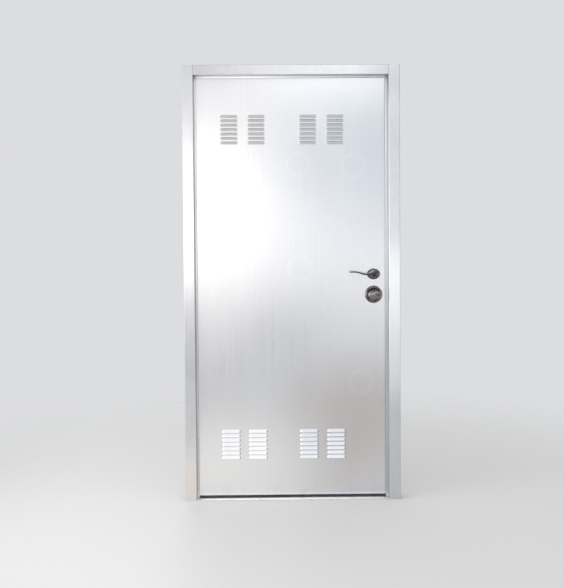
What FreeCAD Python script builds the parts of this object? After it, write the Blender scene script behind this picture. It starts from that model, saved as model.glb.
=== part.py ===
"""Steel utility door: a folded steel frame with a louvred hollow leaf, a wave lever and an oval knob.

X runs to the right seen from the front, Y runs away from the viewer, Z runs up. The origin is the
centre of the threshold's underside, at the middle of the frame's depth. All lengths are millimetres.
"""
import FreeCAD, Part
import Sketcher
import math
import os

from FreeCAD import Rotation, Vector

DRIVING_SIZES = {
    # leaf and the gaps around it
    "leaf_width": 910.0,
    "leaf_height": 2005.0,
    "leaf_thick": 42.0,
    "skin_thick": 1.2,
    "hinge_gap": 6.0,
    "lock_gap": 8.0,
    "head_gap": 6.0,
    "sill_gap": 10.0,
    # folded frame, threshold bar and stop bars
    "jamb_face": 53.0,
    "head_face": 47.0,
    "frame_depth": 85.0,
    "frame_sheet": 1.6,
    "frame_lip": 14.0,
    "sill_thick": 6.0,
    "stop_thick": 6.0,
    "stop_gap": 5.0,
    "hinge_stop_width": 10.0,
    "lock_stop_width": 15.0,
    "head_stop_width": 9.0,
    # anchor holes in the jamb webs
    "anchor_radius": 5.0,
    "anchor_inset": 16.0,
    "anchor_outer_spacing": 1500.0,
    "anchor_inner_spacing": 500.0,
    # channels round the leaf's edge and the rubber strip below it
    "channel_flange": 30.0,
    "channel_sheet": 1.5,
    "seal_height": 5.0,
    "seal_thick": 18.0,
    # pressed louvre hoods
    "louvre_length": 88.0,
    "louvre_radius": 13.0,
    "louvre_pitch": 21.0,
    "louvre_rows": 7,
    "column_pitch": 130.0,
    "group_pitch": 376.0,
    "group_offset": 42.0,
    "louvre_margin": 247.0,
    # butt hinges on the back faces
    "hinge_length": 100.0,
    "hinge_plate_width": 36.0,
    "hinge_plate_thick": 2.5,
    "barrel_radius": 6.5,
    "barrel_room": 1.0,
    "knuckle_gap": 0.4,
    "pin_radius": 3.5,
    "pin_clearance": 0.05,
    "pin_cap_radius": 5.5,
    "pin_cap_height": 3.0,
    "upper_hinge_drop": 200.0,
    "lower_hinge_rise": 250.0,
    # lock edge: face plates, bolts and strikes
    "backset": 62.0,
    "lever_height": 1080.0,
    "knob_drop": 98.0,
    "face_plate_thick": 2.0,
    "face_plate_width": 25.0,
    "face_plate_length": 57.0,
    "face_plate_clearance": 0.2,
    "bolt_thick": 11.0,
    "bolt_height": 18.0,
    "bolt_length": 40.0,
    "strike_thick": 1.5,
    "strike_width": 28.0,
    "strike_length": 64.0,
    "strike_hole_width": 14.0,
    "strike_hole_length": 26.0,
    # lever set
    "lever_rose_width": 64.0,
    "lever_rose_height": 52.0,
    "lever_rose_thick": 8.0,
    "lever_neck_radius": 8.0,
    "lever_hub_radius": 11.0,
    "lever_standoff": 26.0,
    "lever_depth": 16.0,
    "lever_thick": 8.0,
    "lever_reach": 120.0,
    "trough_radius": 70.0,
    "trough_offset": 37.0,
    "trough_rise": 0.5,
    "crest_radius": 106.0,
    "crest_offset": 100.0,
    # knob set
    "knob_rose_radius": 42.0,
    "knob_rose_rim": 4.0,
    "knob_rose_crown_radius": 34.0,
    "knob_rose_thick": 10.0,
    "knob_neck_radius": 13.0,
    "knob_width": 62.0,
    "knob_height": 46.0,
    "knob_depth": 32.0,
    "knob_reach": 52.0,
    # spindles through the leaf
    "neck_clearance": 0.1,
    "spindle_side": 8.0,
    "spindle_hole_radius": 10.0,
}

SHEET_NAME = "Sizes"


class Size:
    """A length: its spreadsheet expression, for bound objects, and its value, for shapes made in code."""

    def __init__(self, text, value):
        self.text = text
        self.value = value

    def _join(self, sign, other, value):
        text = other.text if isinstance(other, Size) else repr(other)
        return Size(f"({self.text} {sign} {text})", value)

    def __add__(self, other):
        return self._join("+", other, self.value + number(other))

    def __sub__(self, other):
        return self._join("-", other, self.value - number(other))

    def __mul__(self, other):
        return self._join("*", other, self.value * number(other))

    def __truediv__(self, other):
        return self._join("/", other, self.value / number(other))

    def __neg__(self):
        return Size(f"(-{self.text})", -self.value)


def number(length):
    """The plain value of a Size or a number."""
    return length.value if isinstance(length, Size) else length


doc = FreeCAD.newDocument("steel_utility_door")
sheet = doc.addObject("Spreadsheet::Sheet", SHEET_NAME)
for row, (alias, value) in enumerate(DRIVING_SIZES.items(), start=1):
    sheet.set(f"A{row}", alias)
    sheet.set(f"B{row}", str(value))
    sheet.setAlias(f"B{row}", alias)
doc.recompute()


def size(alias):
    """The named driving size, read from the sheet."""
    return Size(f"{SHEET_NAME}.{alias}", float(sheet.get(alias)))


ZERO = Size("0", 0.0)

# Places worked out from the driving sizes.
opening_width = size("leaf_width") + size("hinge_gap") + size("lock_gap")
hinge_web = -opening_width / 2
lock_web = opening_width / 2
frame_left = hinge_web - size("jamb_face")
frame_right = lock_web + size("jamb_face")
frame_front = -size("frame_depth") / 2
frame_back = size("frame_depth") / 2

leaf_left = hinge_web + size("hinge_gap")
leaf_right = lock_web - size("lock_gap")
leaf_bottom = size("sill_thick") + size("sill_gap")
leaf_top = leaf_bottom + size("leaf_height")
leaf_back = frame_back
leaf_front = leaf_back - size("leaf_thick")
leaf_middle_x = (leaf_left + leaf_right) / 2
leaf_middle_y = (leaf_front + leaf_back) / 2
leaf_middle_z = (leaf_bottom + leaf_top) / 2
core_front = leaf_front + size("skin_thick")
core_back = leaf_back - size("skin_thick")

head_underside = leaf_top + size("head_gap")
frame_top = head_underside + size("head_face")
stop_back = leaf_front - size("stop_gap")
stop_front = stop_back - size("stop_thick")

lock_x = leaf_right - size("backset")
lever_z = size("lever_height")
knob_z = lever_z - size("knob_drop")


def bind(item, **lengths):
    """Tie properties of an object to their expressions."""
    for name, length in lengths.items():
        item.setExpression(name, length.text)


def place(item, x, y, z):
    """Tie an object's position to three expressions."""
    for axis, length in zip("xyz", (x, y, z)):
        item.setExpression(f"Placement.Base.{axis}", length.text)


def block(name, x, y, z):
    """A rectangular solid between the (low, high) pairs x, y and z."""
    solid = doc.addObject("Part::Box", name)
    bind(solid, Length=x[1] - x[0], Width=y[1] - y[0], Height=z[1] - z[0])
    place(solid, x[0], y[0], z[0])
    return solid


TURN_TO = {
    "X": Rotation(Vector(0, 1, 0), 90),
    "Y": Rotation(Vector(1, 0, 0), -90),
    "Z": Rotation(),
}


def rod(name, along, x, y, z, radius, length):
    """A cylinder that starts at x, y, z and runs the given length along +X, +Y or +Z."""
    solid = doc.addObject("Part::Cylinder", name)
    solid.Placement = FreeCAD.Placement(Vector(), TURN_TO[along])
    bind(solid, Radius=radius, Height=length)
    place(solid, x, y, z)
    return solid


def cut(name, base, tools):
    """The base with all the tools taken away."""
    group = doc.addObject("Part::Compound", f"{name}_cutters")
    group.Links = tools
    result = doc.addObject("Part::Cut", name)
    result.Base = base
    result.Tool = group
    return result


def fuse(name, pieces):
    """The pieces joined into one solid."""
    result = doc.addObject("Part::MultiFuse", name)
    result.Shapes = pieces
    result.Refine = True
    return result


def mirrored_to_back(name, source):
    """A copy of a front piece, mirrored through the middle of the leaf's thickness."""
    result = doc.addObject("Part::Mirroring", name)
    result.Source = source
    result.Normal = Vector(0, 1, 0)
    result.setExpression("Base.y", leaf_middle_y.text)
    return result


nodes = []


def node(name, item):
    """Name a finished piece and put it on the list of files."""
    item.Label = name
    nodes.append(item)
    return item


# Frame: two lipped channels open to the wall, a head channel between them, and a flat bar threshold.


def anchor_heights():
    """Heights of the four anchor holes in a jamb."""
    middle = frame_top / 2
    for spacing in (size("anchor_outer_spacing"), size("anchor_inner_spacing")):
        yield middle - spacing / 2
        yield middle + spacing / 2


def jamb(name, wall_side, web, extra_cutters):
    """A full-height channel with its web at the opening and its mouth at the wall."""
    wall = size("frame_sheet")
    low, high = sorted((wall_side, web), key=number)
    blank = block(f"{name}_blank", (low, high), (frame_front, frame_back), (ZERO, frame_top))
    past_top = frame_top + wall
    hollow = block(
        f"{name}_hollow",
        (low + wall, high - wall),
        (frame_front + wall, frame_back - wall),
        (-wall, past_top),
    )
    mouth = block(
        f"{name}_mouth",
        (wall_side - wall * 2, wall_side + wall * 2),
        (frame_front + size("frame_lip"), frame_back - size("frame_lip")),
        (-wall, past_top),
    )
    holes = [
        rod(
            f"{name}_anchor_hole",
            "X",
            web - wall * 2,
            frame_front + size("anchor_inset"),
            height,
            size("anchor_radius"),
            wall * 4,
        )
        for height in anchor_heights()
    ]
    return node(name, cut(f"{name}_body", blank, [hollow, mouth] + holes + extra_cutters))


def strike_window(name, height, depth):
    """A cutter for the bolt's way through a plate or web, centred on the leaf's thickness."""
    half_width = size("strike_hole_width") / 2
    half_length = size("strike_hole_length") / 2
    return block(
        name,
        (lock_web - depth, lock_web + depth),
        (leaf_middle_y - half_width, leaf_middle_y + half_width),
        (height - half_length, height + half_length),
    )


web_windows = [
    strike_window("latch_web_window", lever_z, size("frame_sheet") * 2),
    strike_window("deadbolt_web_window", knob_z, size("frame_sheet") * 2),
]
jamb("hinge_jamb", frame_left, hinge_web, [])
jamb("strike_jamb", frame_right, lock_web, web_windows)


def head():
    """The head channel between the jambs, open upwards."""
    wall = size("frame_sheet")
    depth = (frame_front, frame_back)
    blank = block("head_blank", (hinge_web, lock_web), depth, (head_underside, frame_top))
    past_ends = (hinge_web - wall, lock_web + wall)
    hollow = block(
        "head_hollow",
        past_ends,
        (frame_front + wall, frame_back - wall),
        (head_underside + wall, frame_top - wall),
    )
    mouth = block(
        "head_mouth",
        past_ends,
        (frame_front + size("frame_lip"), frame_back - size("frame_lip")),
        (frame_top - wall * 2, frame_top + wall),
    )
    return node("head", cut("head_body", blank, [hollow, mouth]))


head()
node(
    "threshold",
    block("threshold_bar", (hinge_web, lock_web), (frame_front, frame_back), (ZERO, size("sill_thick"))),
)

stop_depth = (stop_front, stop_back)
stop_rise = (size("sill_thick"), head_underside)
hinge_stop_edge = hinge_web + size("hinge_stop_width")
lock_stop_edge = lock_web - size("lock_stop_width")
node("hinge_stop", block("hinge_stop_bar", (hinge_web, hinge_stop_edge), stop_depth, stop_rise))
node("strike_stop", block("strike_stop_bar", (lock_stop_edge, lock_web), stop_depth, stop_rise))
node(
    "head_stop",
    block(
        "head_stop_bar",
        (hinge_stop_edge, lock_stop_edge),
        stop_depth,
        (head_underside - size("head_stop_width"), head_underside),
    ),
)


def strike(name, height):
    """A strike plate on the strike jamb's web, with a window for the bolt."""
    half_width = size("strike_width") / 2
    half_length = size("strike_length") / 2
    blank = block(
        f"{name}_blank",
        (lock_web - size("strike_thick"), lock_web),
        (leaf_middle_y - half_width, leaf_middle_y + half_width),
        (height - half_length, height + half_length),
    )
    window = strike_window(f"{name}_window", height, size("strike_thick") * 2)
    return node(name, cut(f"{name}_body", blank, [window]))


strike("latch_strike", lever_z)
strike("deadbolt_strike", knob_z)

# Leaf: two louvred skins on a frame of folded channels.


def plane_of(body, role):
    """One of a body's own origin planes or axes."""
    return next(item for item in body.Origin.OriginFeatures if item.Role == role)


def sketch_on_front(body, name):
    """A sketch on a body's XZ plane, where sketch y is up."""
    sketch = body.newObject("Sketcher::SketchObject", name)
    sketch.AttachmentSupport = [(plane_of(body, "XZ_Plane"), "")]
    sketch.MapMode = "FlatFace"
    return sketch


def constrain(sketch, length, *arguments):
    """Add a driving dimension and tie it to an expression."""
    index = sketch.addConstraint(Sketcher.Constraint(*arguments, length.value))
    sketch.setExpression(f"Constraints[{index}]", length.text)


def draw_rectangle(sketch, left, right, low, high):
    """A rectangle held by its distances from the sketch's origin, all of them positive."""
    corners = [
        Vector(-left.value, -low.value, 0),
        Vector(right.value, -low.value, 0),
        Vector(right.value, high.value, 0),
        Vector(-left.value, high.value, 0),
    ]
    for start, end in zip(corners, corners[1:] + corners[:1]):
        sketch.addGeometry(Part.LineSegment(start, end), False)
    for side in range(4):
        sketch.addConstraint(Sketcher.Constraint("Coincident", side, 2, (side + 1) % 4, 1))
    for side in (0, 2):
        sketch.addConstraint(Sketcher.Constraint("Horizontal", side))
    for side in (1, 3):
        sketch.addConstraint(Sketcher.Constraint("Vertical", side))
    constrain(sketch, left, "DistanceX", 0, 1, -1, 1)
    constrain(sketch, right, "DistanceX", -1, 1, 1, 1)
    constrain(sketch, low, "DistanceY", 0, 1, -1, 1)
    constrain(sketch, high, "DistanceY", -1, 1, 2, 1)


def draw_hole(sketch, inset, rise, radius):
    """A circle placed from the lower right corner of a sketch's rectangle."""
    bottom_side = 0
    corner = sketch.Geometry[bottom_side].EndPoint
    centre = corner + Vector(-inset.value, rise.value, 0)
    circle = sketch.addGeometry(Part.Circle(centre, Vector(0, 0, 1), radius.value), False)
    constrain(sketch, radius, "Radius", circle)
    constrain(sketch, inset, "DistanceX", circle, 3, bottom_side, 2)
    constrain(sketch, rise, "DistanceY", bottom_side, 2, circle, 3)


def draw_hood(sketch, left, right, drop, radius):
    """Half a stadium over its straight base: the outline of one louvre hood.

    left and right are the base's ends and drop its depth, all measured from the sketch's origin.
    """
    base_left = Vector(-left.value, -drop.value, 0)
    base_right = Vector(-right.value, -drop.value, 0)
    reach = radius.value
    centre_left = base_left + Vector(reach, 0, 0)
    centre_right = base_right - Vector(reach, 0, 0)
    rise = Vector(0, reach, 0)
    out_of_plane = Vector(0, 0, 1)
    quarter = math.pi / 2
    sketch.addGeometry(Part.LineSegment(base_left, base_right), False)
    right_end = Part.Circle(centre_right, out_of_plane, reach)
    sketch.addGeometry(Part.ArcOfCircle(right_end, 0, quarter), False)
    sketch.addGeometry(Part.LineSegment(centre_right + rise, centre_left + rise), False)
    left_end = Part.Circle(centre_left, out_of_plane, reach)
    sketch.addGeometry(Part.ArcOfCircle(left_end, quarter, 2 * quarter), False)
    base, right_arc, crown, left_arc = range(4)
    sketch.addConstraint(Sketcher.Constraint("Coincident", base, 2, right_arc, 1))
    sketch.addConstraint(Sketcher.Constraint("Tangent", right_arc, 2, crown, 1))
    sketch.addConstraint(Sketcher.Constraint("Tangent", crown, 2, left_arc, 1))
    sketch.addConstraint(Sketcher.Constraint("Coincident", left_arc, 2, base, 1))
    sketch.addConstraint(Sketcher.Constraint("Horizontal", base))
    sketch.addConstraint(Sketcher.Constraint("PointOnObject", right_arc, 3, base))
    sketch.addConstraint(Sketcher.Constraint("PointOnObject", left_arc, 3, base))
    constrain(sketch, radius, "Radius", right_arc)
    constrain(sketch, left, "DistanceX", base, 1, -1, 1)
    constrain(sketch, right, "DistanceX", base, 2, -1, 1)
    constrain(sketch, drop, "DistanceY", base, 1, -1, 1)


def front_skin():
    """The front sheet with its spindle holes and four groups of pressed hoods, their mouths down.

    The body's own origin is the middle of the four groups, on the sheet's outer face.
    """
    body = doc.addObject("PartDesign::Body", "front_skin_body")
    place(body, leaf_middle_x - size("group_offset"), leaf_front, leaf_middle_z)
    half_width = size("leaf_width") / 2
    half_height = size("leaf_height") / 2

    outline = sketch_on_front(body, "skin_outline")
    draw_rectangle(
        outline,
        half_width - size("group_offset"),
        half_width + size("group_offset"),
        half_height,
        half_height,
    )
    for height in (lever_z, knob_z):
        draw_hole(outline, size("backset"), height - leaf_bottom, size("spindle_hole_radius"))
    skin = body.newObject("PartDesign::Pad", "skin_sheet")
    skin.Profile = outline
    skin.Reversed = True
    bind(skin, Length=size("skin_thick"))

    group_rise = size("leaf_height") - size("louvre_margin") * 2
    first_centre = (size("group_pitch") + size("column_pitch")) / 2
    half_length = size("louvre_length") / 2
    field_rise = size("louvre_pitch") * (size("louvre_rows") - 1)
    mouth_drop = (group_rise + field_rise + size("louvre_radius")) / 2

    hood_outline = sketch_on_front(body, "hood_outline")
    draw_hood(
        hood_outline,
        first_centre + half_length,
        first_centre - half_length,
        mouth_drop,
        size("louvre_radius"),
    )
    hood = body.newObject("PartDesign::Revolution", "hood")
    hood.Profile = hood_outline
    hood.ReferenceAxis = (hood_outline, ["Edge1"])
    hood.Angle = 90.0

    throat_outline = sketch_on_front(body, "throat_outline")
    draw_hood(
        throat_outline,
        first_centre + half_length - size("skin_thick"),
        first_centre - half_length + size("skin_thick"),
        mouth_drop,
        size("louvre_radius") - size("skin_thick"),
    )
    throat = body.newObject("PartDesign::Groove", "throat")
    throat.Profile = throat_outline
    throat.ReferenceAxis = (throat_outline, ["Edge1"])
    throat.Angle = 180.0
    throat.Midplane = True
    doc.recompute()

    pattern = body.newObject("PartDesign::MultiTransform", "louvre_field")
    pattern.Originals = [hood, throat]
    steps = (
        ("louvre_rows_step", "Z_Axis", size("louvre_pitch"), size("louvre_rows")),
        ("column_step", "X_Axis", size("column_pitch"), None),
        ("group_step", "X_Axis", size("group_pitch"), None),
        ("group_rise_step", "Z_Axis", group_rise, None),
    )
    transformations = []
    for name, axis, spacing, count in steps:
        step = body.newObject("PartDesign::LinearPattern", name)
        step.Direction = (plane_of(body, axis), [""])
        step.Mode = "Spacing"
        step.Occurrences = 2
        bind(step, Offset=spacing)
        if count is not None:
            bind(step, Occurrences=count)
        transformations.append(step)
    pattern.Transformations = transformations
    for feature in (skin, hood, throat, pattern):
        feature.Refine = False
    body.Tip = pattern
    return body


front = node("front_skin", front_skin())
node("back_skin", mirrored_to_back("back_skin_sheet", front))

flange = size("channel_flange")
core = (core_front, core_back)
channel_inside = (core_front + size("channel_sheet"), core_back - size("channel_sheet"))


def rail(name, low, high, hollow_rise):
    """A channel with closed ends along the top or bottom edge of the leaf."""
    wall = size("channel_sheet")
    blank = block(f"{name}_blank", (leaf_left, leaf_right), core, (low, high))
    hollow = block(f"{name}_hollow", (leaf_left + wall, leaf_right - wall), channel_inside, hollow_rise)
    return node(name, cut(f"{name}_body", blank, [hollow]))


def stile(name, low, high, hollow_width, extra_cutters):
    """A channel along the hinge or lock edge, between the two rails."""
    rise = (leaf_bottom + flange, leaf_top - flange)
    blank = block(f"{name}_blank", (low, high), core, rise)
    wall = size("channel_sheet")
    hollow = block(f"{name}_hollow", hollow_width, channel_inside, (rise[0] - wall, rise[1] + wall))
    return node(name, cut(f"{name}_body", blank, [hollow] + extra_cutters))


edge_wall = size("channel_sheet")
rail_top_edge = leaf_bottom + flange
rail_low_edge = leaf_top - flange
rail("top_rail", rail_low_edge, leaf_top, (rail_low_edge - edge_wall, leaf_top - edge_wall))
rail("bottom_rail", leaf_bottom, rail_top_edge, (leaf_bottom + edge_wall, rail_top_edge + edge_wall))


def face_plate_window(name, height):
    """A cutter for the place of one face plate in the lock stile's web."""
    half_width = size("face_plate_width") / 2 + size("face_plate_clearance")
    half_length = size("face_plate_length") / 2 + size("face_plate_clearance")
    return block(
        name,
        (leaf_right - size("channel_sheet") * 2, leaf_right + size("channel_sheet")),
        (leaf_middle_y - half_width, leaf_middle_y + half_width),
        (height - half_length, height + half_length),
    )


stile(
    "hinge_stile",
    leaf_left,
    leaf_left + flange,
    (leaf_left + edge_wall, leaf_left + flange + edge_wall),
    [],
)
stile(
    "lock_stile",
    leaf_right - flange,
    leaf_right,
    (leaf_right - flange - edge_wall, leaf_right - edge_wall),
    [face_plate_window("latch_plate_window", lever_z), face_plate_window("deadbolt_plate_window", knob_z)],
)

half_seal = size("seal_thick") / 2
node(
    "bottom_seal",
    block(
        "bottom_seal_strip",
        (leaf_left, leaf_right),
        (leaf_middle_y - half_seal, leaf_middle_y + half_seal),
        (leaf_bottom - size("seal_height"), leaf_bottom),
    ),
)


def lock_bolt(plate_name, bolt_name, height):
    """A face plate flush in the lock edge and the bolt drawn back level with it."""
    half_width = size("face_plate_width") / 2
    half_length = size("face_plate_length") / 2
    blank = block(
        f"{plate_name}_blank",
        (leaf_right - size("face_plate_thick"), leaf_right),
        (leaf_middle_y - half_width, leaf_middle_y + half_width),
        (height - half_length, height + half_length),
    )
    half_bolt = size("bolt_thick") / 2
    half_rise = size("bolt_height") / 2
    room = size("face_plate_clearance")
    window = block(
        f"{plate_name}_window",
        (leaf_right - size("face_plate_thick") * 2, leaf_right + size("face_plate_thick")),
        (leaf_middle_y - half_bolt - room, leaf_middle_y + half_bolt + room),
        (height - half_rise - room, height + half_rise + room),
    )
    node(plate_name, cut(f"{plate_name}_body", blank, [window]))
    node(
        bolt_name,
        block(
            f"{bolt_name}_bar",
            (leaf_right - size("bolt_length"), leaf_right),
            (leaf_middle_y - half_bolt, leaf_middle_y + half_bolt),
            (height - half_rise, height + half_rise),
        ),
    )


lock_bolt("latch_face_plate", "latch_bolt", lever_z)
lock_bolt("deadbolt_face_plate", "deadbolt", knob_z)

# Hinges: butt hinges opened flat on the back faces, with the barrel over the hinge gap.

hinge_x = (hinge_web + leaf_left) / 2
hinge_y = frame_back + size("barrel_radius")
KNUCKLES = 5


def hinge_half(name, side, base, knuckle_indices):
    """One plate with its knuckles: side is -1 for the frame's half and 1 for the leaf's."""
    plate_edge = hinge_x + size("hinge_plate_width") * side
    notch_edge = hinge_x + (size("barrel_radius") + size("barrel_room")) * side
    plate_depth = (frame_back, frame_back + size("hinge_plate_thick"))
    spread = sorted((plate_edge, notch_edge), key=number)
    rise = (base, base + size("hinge_length"))
    pieces = [block(f"{name}_plate", spread, plate_depth, rise)]
    pitch = size("hinge_length") / KNUCKLES
    tongue = sorted((notch_edge, hinge_x), key=number)
    for index in knuckle_indices:
        low = base + pitch * index + size("knuckle_gap") / 2
        length = pitch - size("knuckle_gap")
        pieces.append(block(f"{name}_tongue", tongue, plate_depth, (low, low + length)))
        pieces.append(rod(f"{name}_knuckle", "Z", hinge_x, hinge_y, low, size("barrel_radius"), length))
    bore = rod(
        f"{name}_bore",
        "Z",
        hinge_x,
        hinge_y,
        base - pitch,
        size("pin_radius") + size("pin_clearance"),
        size("hinge_length") + pitch * 2,
    )
    return node(name, cut(f"{name}_body", fuse(f"{name}_blank", pieces), [bore]))


def hinge_pin(name, base):
    """A pin with a cap on each end of the barrel."""
    cap_height = size("pin_cap_height")
    low = base + size("knuckle_gap") / 2
    high = base + size("hinge_length") - size("knuckle_gap") / 2
    foot = low - cap_height
    pieces = [
        rod(f"{name}_shank", "Z", hinge_x, hinge_y, foot, size("pin_radius"), high - foot + cap_height),
        rod(f"{name}_foot", "Z", hinge_x, hinge_y, foot, size("pin_cap_radius"), cap_height),
        rod(f"{name}_cap", "Z", hinge_x, hinge_y, high, size("pin_cap_radius"), cap_height),
    ]
    return node(name, fuse(f"{name}_body", pieces))


hinge_centres = {
    "upper": leaf_top - size("upper_hinge_drop"),
    "middle": leaf_middle_z,
    "lower": leaf_bottom + size("lower_hinge_rise"),
}
for place_name, centre in hinge_centres.items():
    hinge_base = centre - size("hinge_length") / 2
    hinge_half(f"{place_name}_hinge_frame_plate", -1, hinge_base, (0, 2, 4))
    hinge_half(f"{place_name}_hinge_leaf_plate", 1, hinge_base, (1, 3))
    hinge_pin(f"{place_name}_hinge_pin", hinge_base)

# Lever set: an oval rose on each face, and a wave lever each side on one square spindle.


def lever_rose():
    """The oval plate round the lever's neck."""
    outline = doc.addObject("Part::Ellipse", "lever_rose_outline")
    outline.Placement = FreeCAD.Placement(Vector(), Rotation(Vector(1, 0, 0), 90))
    bind(outline, MajorRadius=size("lever_rose_width") / 2, MinorRadius=size("lever_rose_height") / 2)
    place(outline, lock_x, leaf_front, lever_z)
    blank = doc.addObject("Part::Extrusion", "lever_rose_blank")
    blank.Base = outline
    blank.DirMode = "Custom"
    blank.Dir = Vector(0, -1, 0)
    blank.Solid = True
    bind(blank, LengthFwd=size("lever_rose_thick"))
    hole = rod(
        "lever_rose_hole",
        "Y",
        lock_x,
        leaf_front - size("lever_rose_thick") * 2,
        lever_z,
        size("lever_neck_radius") + size("neck_clearance"),
        size("lever_rose_thick") * 3,
    )
    return cut("lever_rose_body", blank, [hole])


front_lever_rose = node("front_lever_rose", lever_rose())
node("back_lever_rose", mirrored_to_back("back_lever_rose_body", front_lever_rose))


def point_on(centre, radius, turn):
    """The point at an angle from straight down, measured towards the lever's tip."""
    return centre + Vector(-math.sin(turn), 0, -math.cos(turn)) * radius


def wave_ribbon(inner_y, depth):
    """The lever's blade: a ribbon along a trough arc and a crest arc that meet tangentially."""
    trough_radius = size("trough_radius").value
    crest_radius = size("crest_radius").value
    trough_offset = size("trough_offset").value
    half = size("lever_thick").value / 2
    spindle = Vector(lock_x.value, inner_y, lever_z.value)
    trough = spindle + Vector(-trough_offset, 0, size("trough_rise").value + trough_radius)
    swing = math.asin((size("crest_offset").value - trough_offset) / (trough_radius + crest_radius))
    crest = point_on(trough, trough_radius + crest_radius, swing)
    start = -math.asin(trough_offset / trough_radius)
    tip_run = size("lever_reach").value - half - size("crest_offset").value
    finish = math.asin(tip_run / crest_radius)

    def crest_point(radius, turn):
        return crest + Vector(-math.sin(turn), 0, math.cos(turn)) * radius

    def trough_arc(radius, turns):
        return Part.Arc(*[point_on(trough, radius, turn) for turn in turns]).toShape()

    def crest_arc(radius, turns):
        return Part.Arc(*[crest_point(radius, turn) for turn in turns]).toShape()

    trough_turns = (start, (start + swing) / 2, swing)
    crest_turns = (-swing, (finish - swing) / 2, finish)
    upper = [trough_arc(trough_radius - half, trough_turns), crest_arc(crest_radius + half, crest_turns)]
    lower = [trough_arc(trough_radius + half, trough_turns), crest_arc(crest_radius - half, crest_turns)]
    tip_middle = crest_point(crest_radius, finish) + Vector(-math.cos(finish), 0, -math.sin(finish)) * half
    tip = Part.Arc(
        crest_point(crest_radius + half, finish),
        tip_middle,
        crest_point(crest_radius - half, finish),
    ).toShape()
    root = Part.LineSegment(
        point_on(trough, trough_radius + half, start),
        point_on(trough, trough_radius - half, start),
    ).toShape()
    outline = Part.Wire(Part.__sortEdges__(upper + [tip] + lower + [root]))
    return Part.Face(outline).extrude(Vector(0, -depth, 0))


def lever_shape():
    """Neck, hub and wave ribbon of the front lever."""
    towards_front = Vector(0, -1, 0)
    seat = Vector(lock_x.value, leaf_front.value, lever_z.value)
    inner = size("lever_rose_thick").value + size("lever_standoff").value
    depth = size("lever_depth").value
    neck = Part.makeCylinder(size("lever_neck_radius").value, inner + depth, seat, towards_front)
    hub_seat = seat + towards_front * inner
    hub = Part.makeCylinder(size("lever_hub_radius").value, depth, hub_seat, towards_front)
    ribbon = wave_ribbon(hub_seat.y, depth)
    return neck.fuse([hub, ribbon]).removeSplitter()


front_lever_body = doc.addObject("Part::Feature", "front_lever_body")
front_lever_body.Shape = lever_shape()
front_lever = node("front_lever", front_lever_body)
node("back_lever", mirrored_to_back("back_lever_body", front_lever))


def spindle(name, height):
    """A square bar between the necks of a front and a back handle."""
    half = size("spindle_side") / 2
    return node(
        name,
        block(
            f"{name}_bar",
            (lock_x - half, lock_x + half),
            (leaf_front, leaf_back),
            (height - half, height + half),
        ),
    )


spindle("lever_spindle", lever_z)

# Knob set: a stepped round rose and an oval knob on each face.


def knob_rose():
    """A round rose with a straight rim and a coned crown."""
    rim_depth = size("knob_rose_rim")
    crown_depth = size("knob_rose_thick") - rim_depth
    radius = size("knob_rose_radius")
    rim = rod("knob_rose_rim_disc", "Y", lock_x, leaf_front - rim_depth, knob_z, radius, rim_depth)
    crown = doc.addObject("Part::Cone", "knob_rose_crown")
    crown.Placement = FreeCAD.Placement(Vector(), Rotation(Vector(1, 0, 0), -90))
    bind(crown, Radius1=size("knob_rose_crown_radius"), Radius2=radius, Height=crown_depth)
    place(crown, lock_x, leaf_front - size("knob_rose_thick"), knob_z)
    hole = rod(
        "knob_rose_hole",
        "Y",
        lock_x,
        leaf_front - size("knob_rose_thick") * 2,
        knob_z,
        size("knob_neck_radius") + size("neck_clearance"),
        size("knob_rose_thick") * 3,
    )
    return cut("knob_rose_body", fuse("knob_rose_blank", [rim, crown]), [hole])


front_knob_rose = node("front_knob_rose", knob_rose())
node("back_knob_rose", mirrored_to_back("back_knob_rose_body", front_knob_rose))


def knob():
    """An oval knob on a round neck."""
    centre_y = leaf_front - size("knob_reach") + size("knob_depth") / 2
    grip = doc.addObject("Part::Ellipsoid", "knob_grip")
    bind(grip, Radius1=size("knob_height") / 2, Radius2=size("knob_width") / 2)
    bind(grip, Radius3=size("knob_depth") / 2)
    place(grip, lock_x, centre_y, knob_z)
    neck = rod("knob_neck", "Y", lock_x, centre_y, knob_z, size("knob_neck_radius"), leaf_front - centre_y)
    return fuse("knob_body", [grip, neck])


front_knob = node("front_knob", knob())
node("back_knob", mirrored_to_back("back_knob_body", front_knob))
spindle("knob_spindle", knob_z)

doc.recompute()

broken = [item.Name for item in doc.Objects if "Invalid" in item.State or "Error" in item.State]
if broken:
    raise RuntimeError(f"not rebuilt: {broken}")
for piece in nodes:
    if piece.Shape.isNull() or not piece.Shape.isValid():
        raise RuntimeError(f"no valid shape: {piece.Label}")

os.makedirs("parts", exist_ok=True)
for piece in nodes:
    piece.Shape.exportStep(f"parts/{piece.Label}.step")
    print(f"{piece.Label}: {len(piece.Shape.Solids)} solid, {piece.Shape.Volume / 1000:.1f} cm3")
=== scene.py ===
"""Dress the steel utility door: folded and pressed sheet, cast handles, fasteners, finishes and studio.

Every length is in metres in the part's own frame: X to the right seen from the front, Y away from the
viewer, Z up, with the origin at floor level in the middle of the frame's depth.
"""

import logging
import math
from abc import ABC, abstractmethod
from dataclasses import dataclass
from enum import Enum
from functools import cached_property
from typing import ClassVar, Iterable, Iterator, Mapping, Optional, Sequence, Union

import bmesh
import bpy
from bmesh.types import BMEdge, BMFace, BMVert
from bpy.types import Material, Node, NodeSocket, Object, World
from mathutils import Euler, Matrix, Vector


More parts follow.
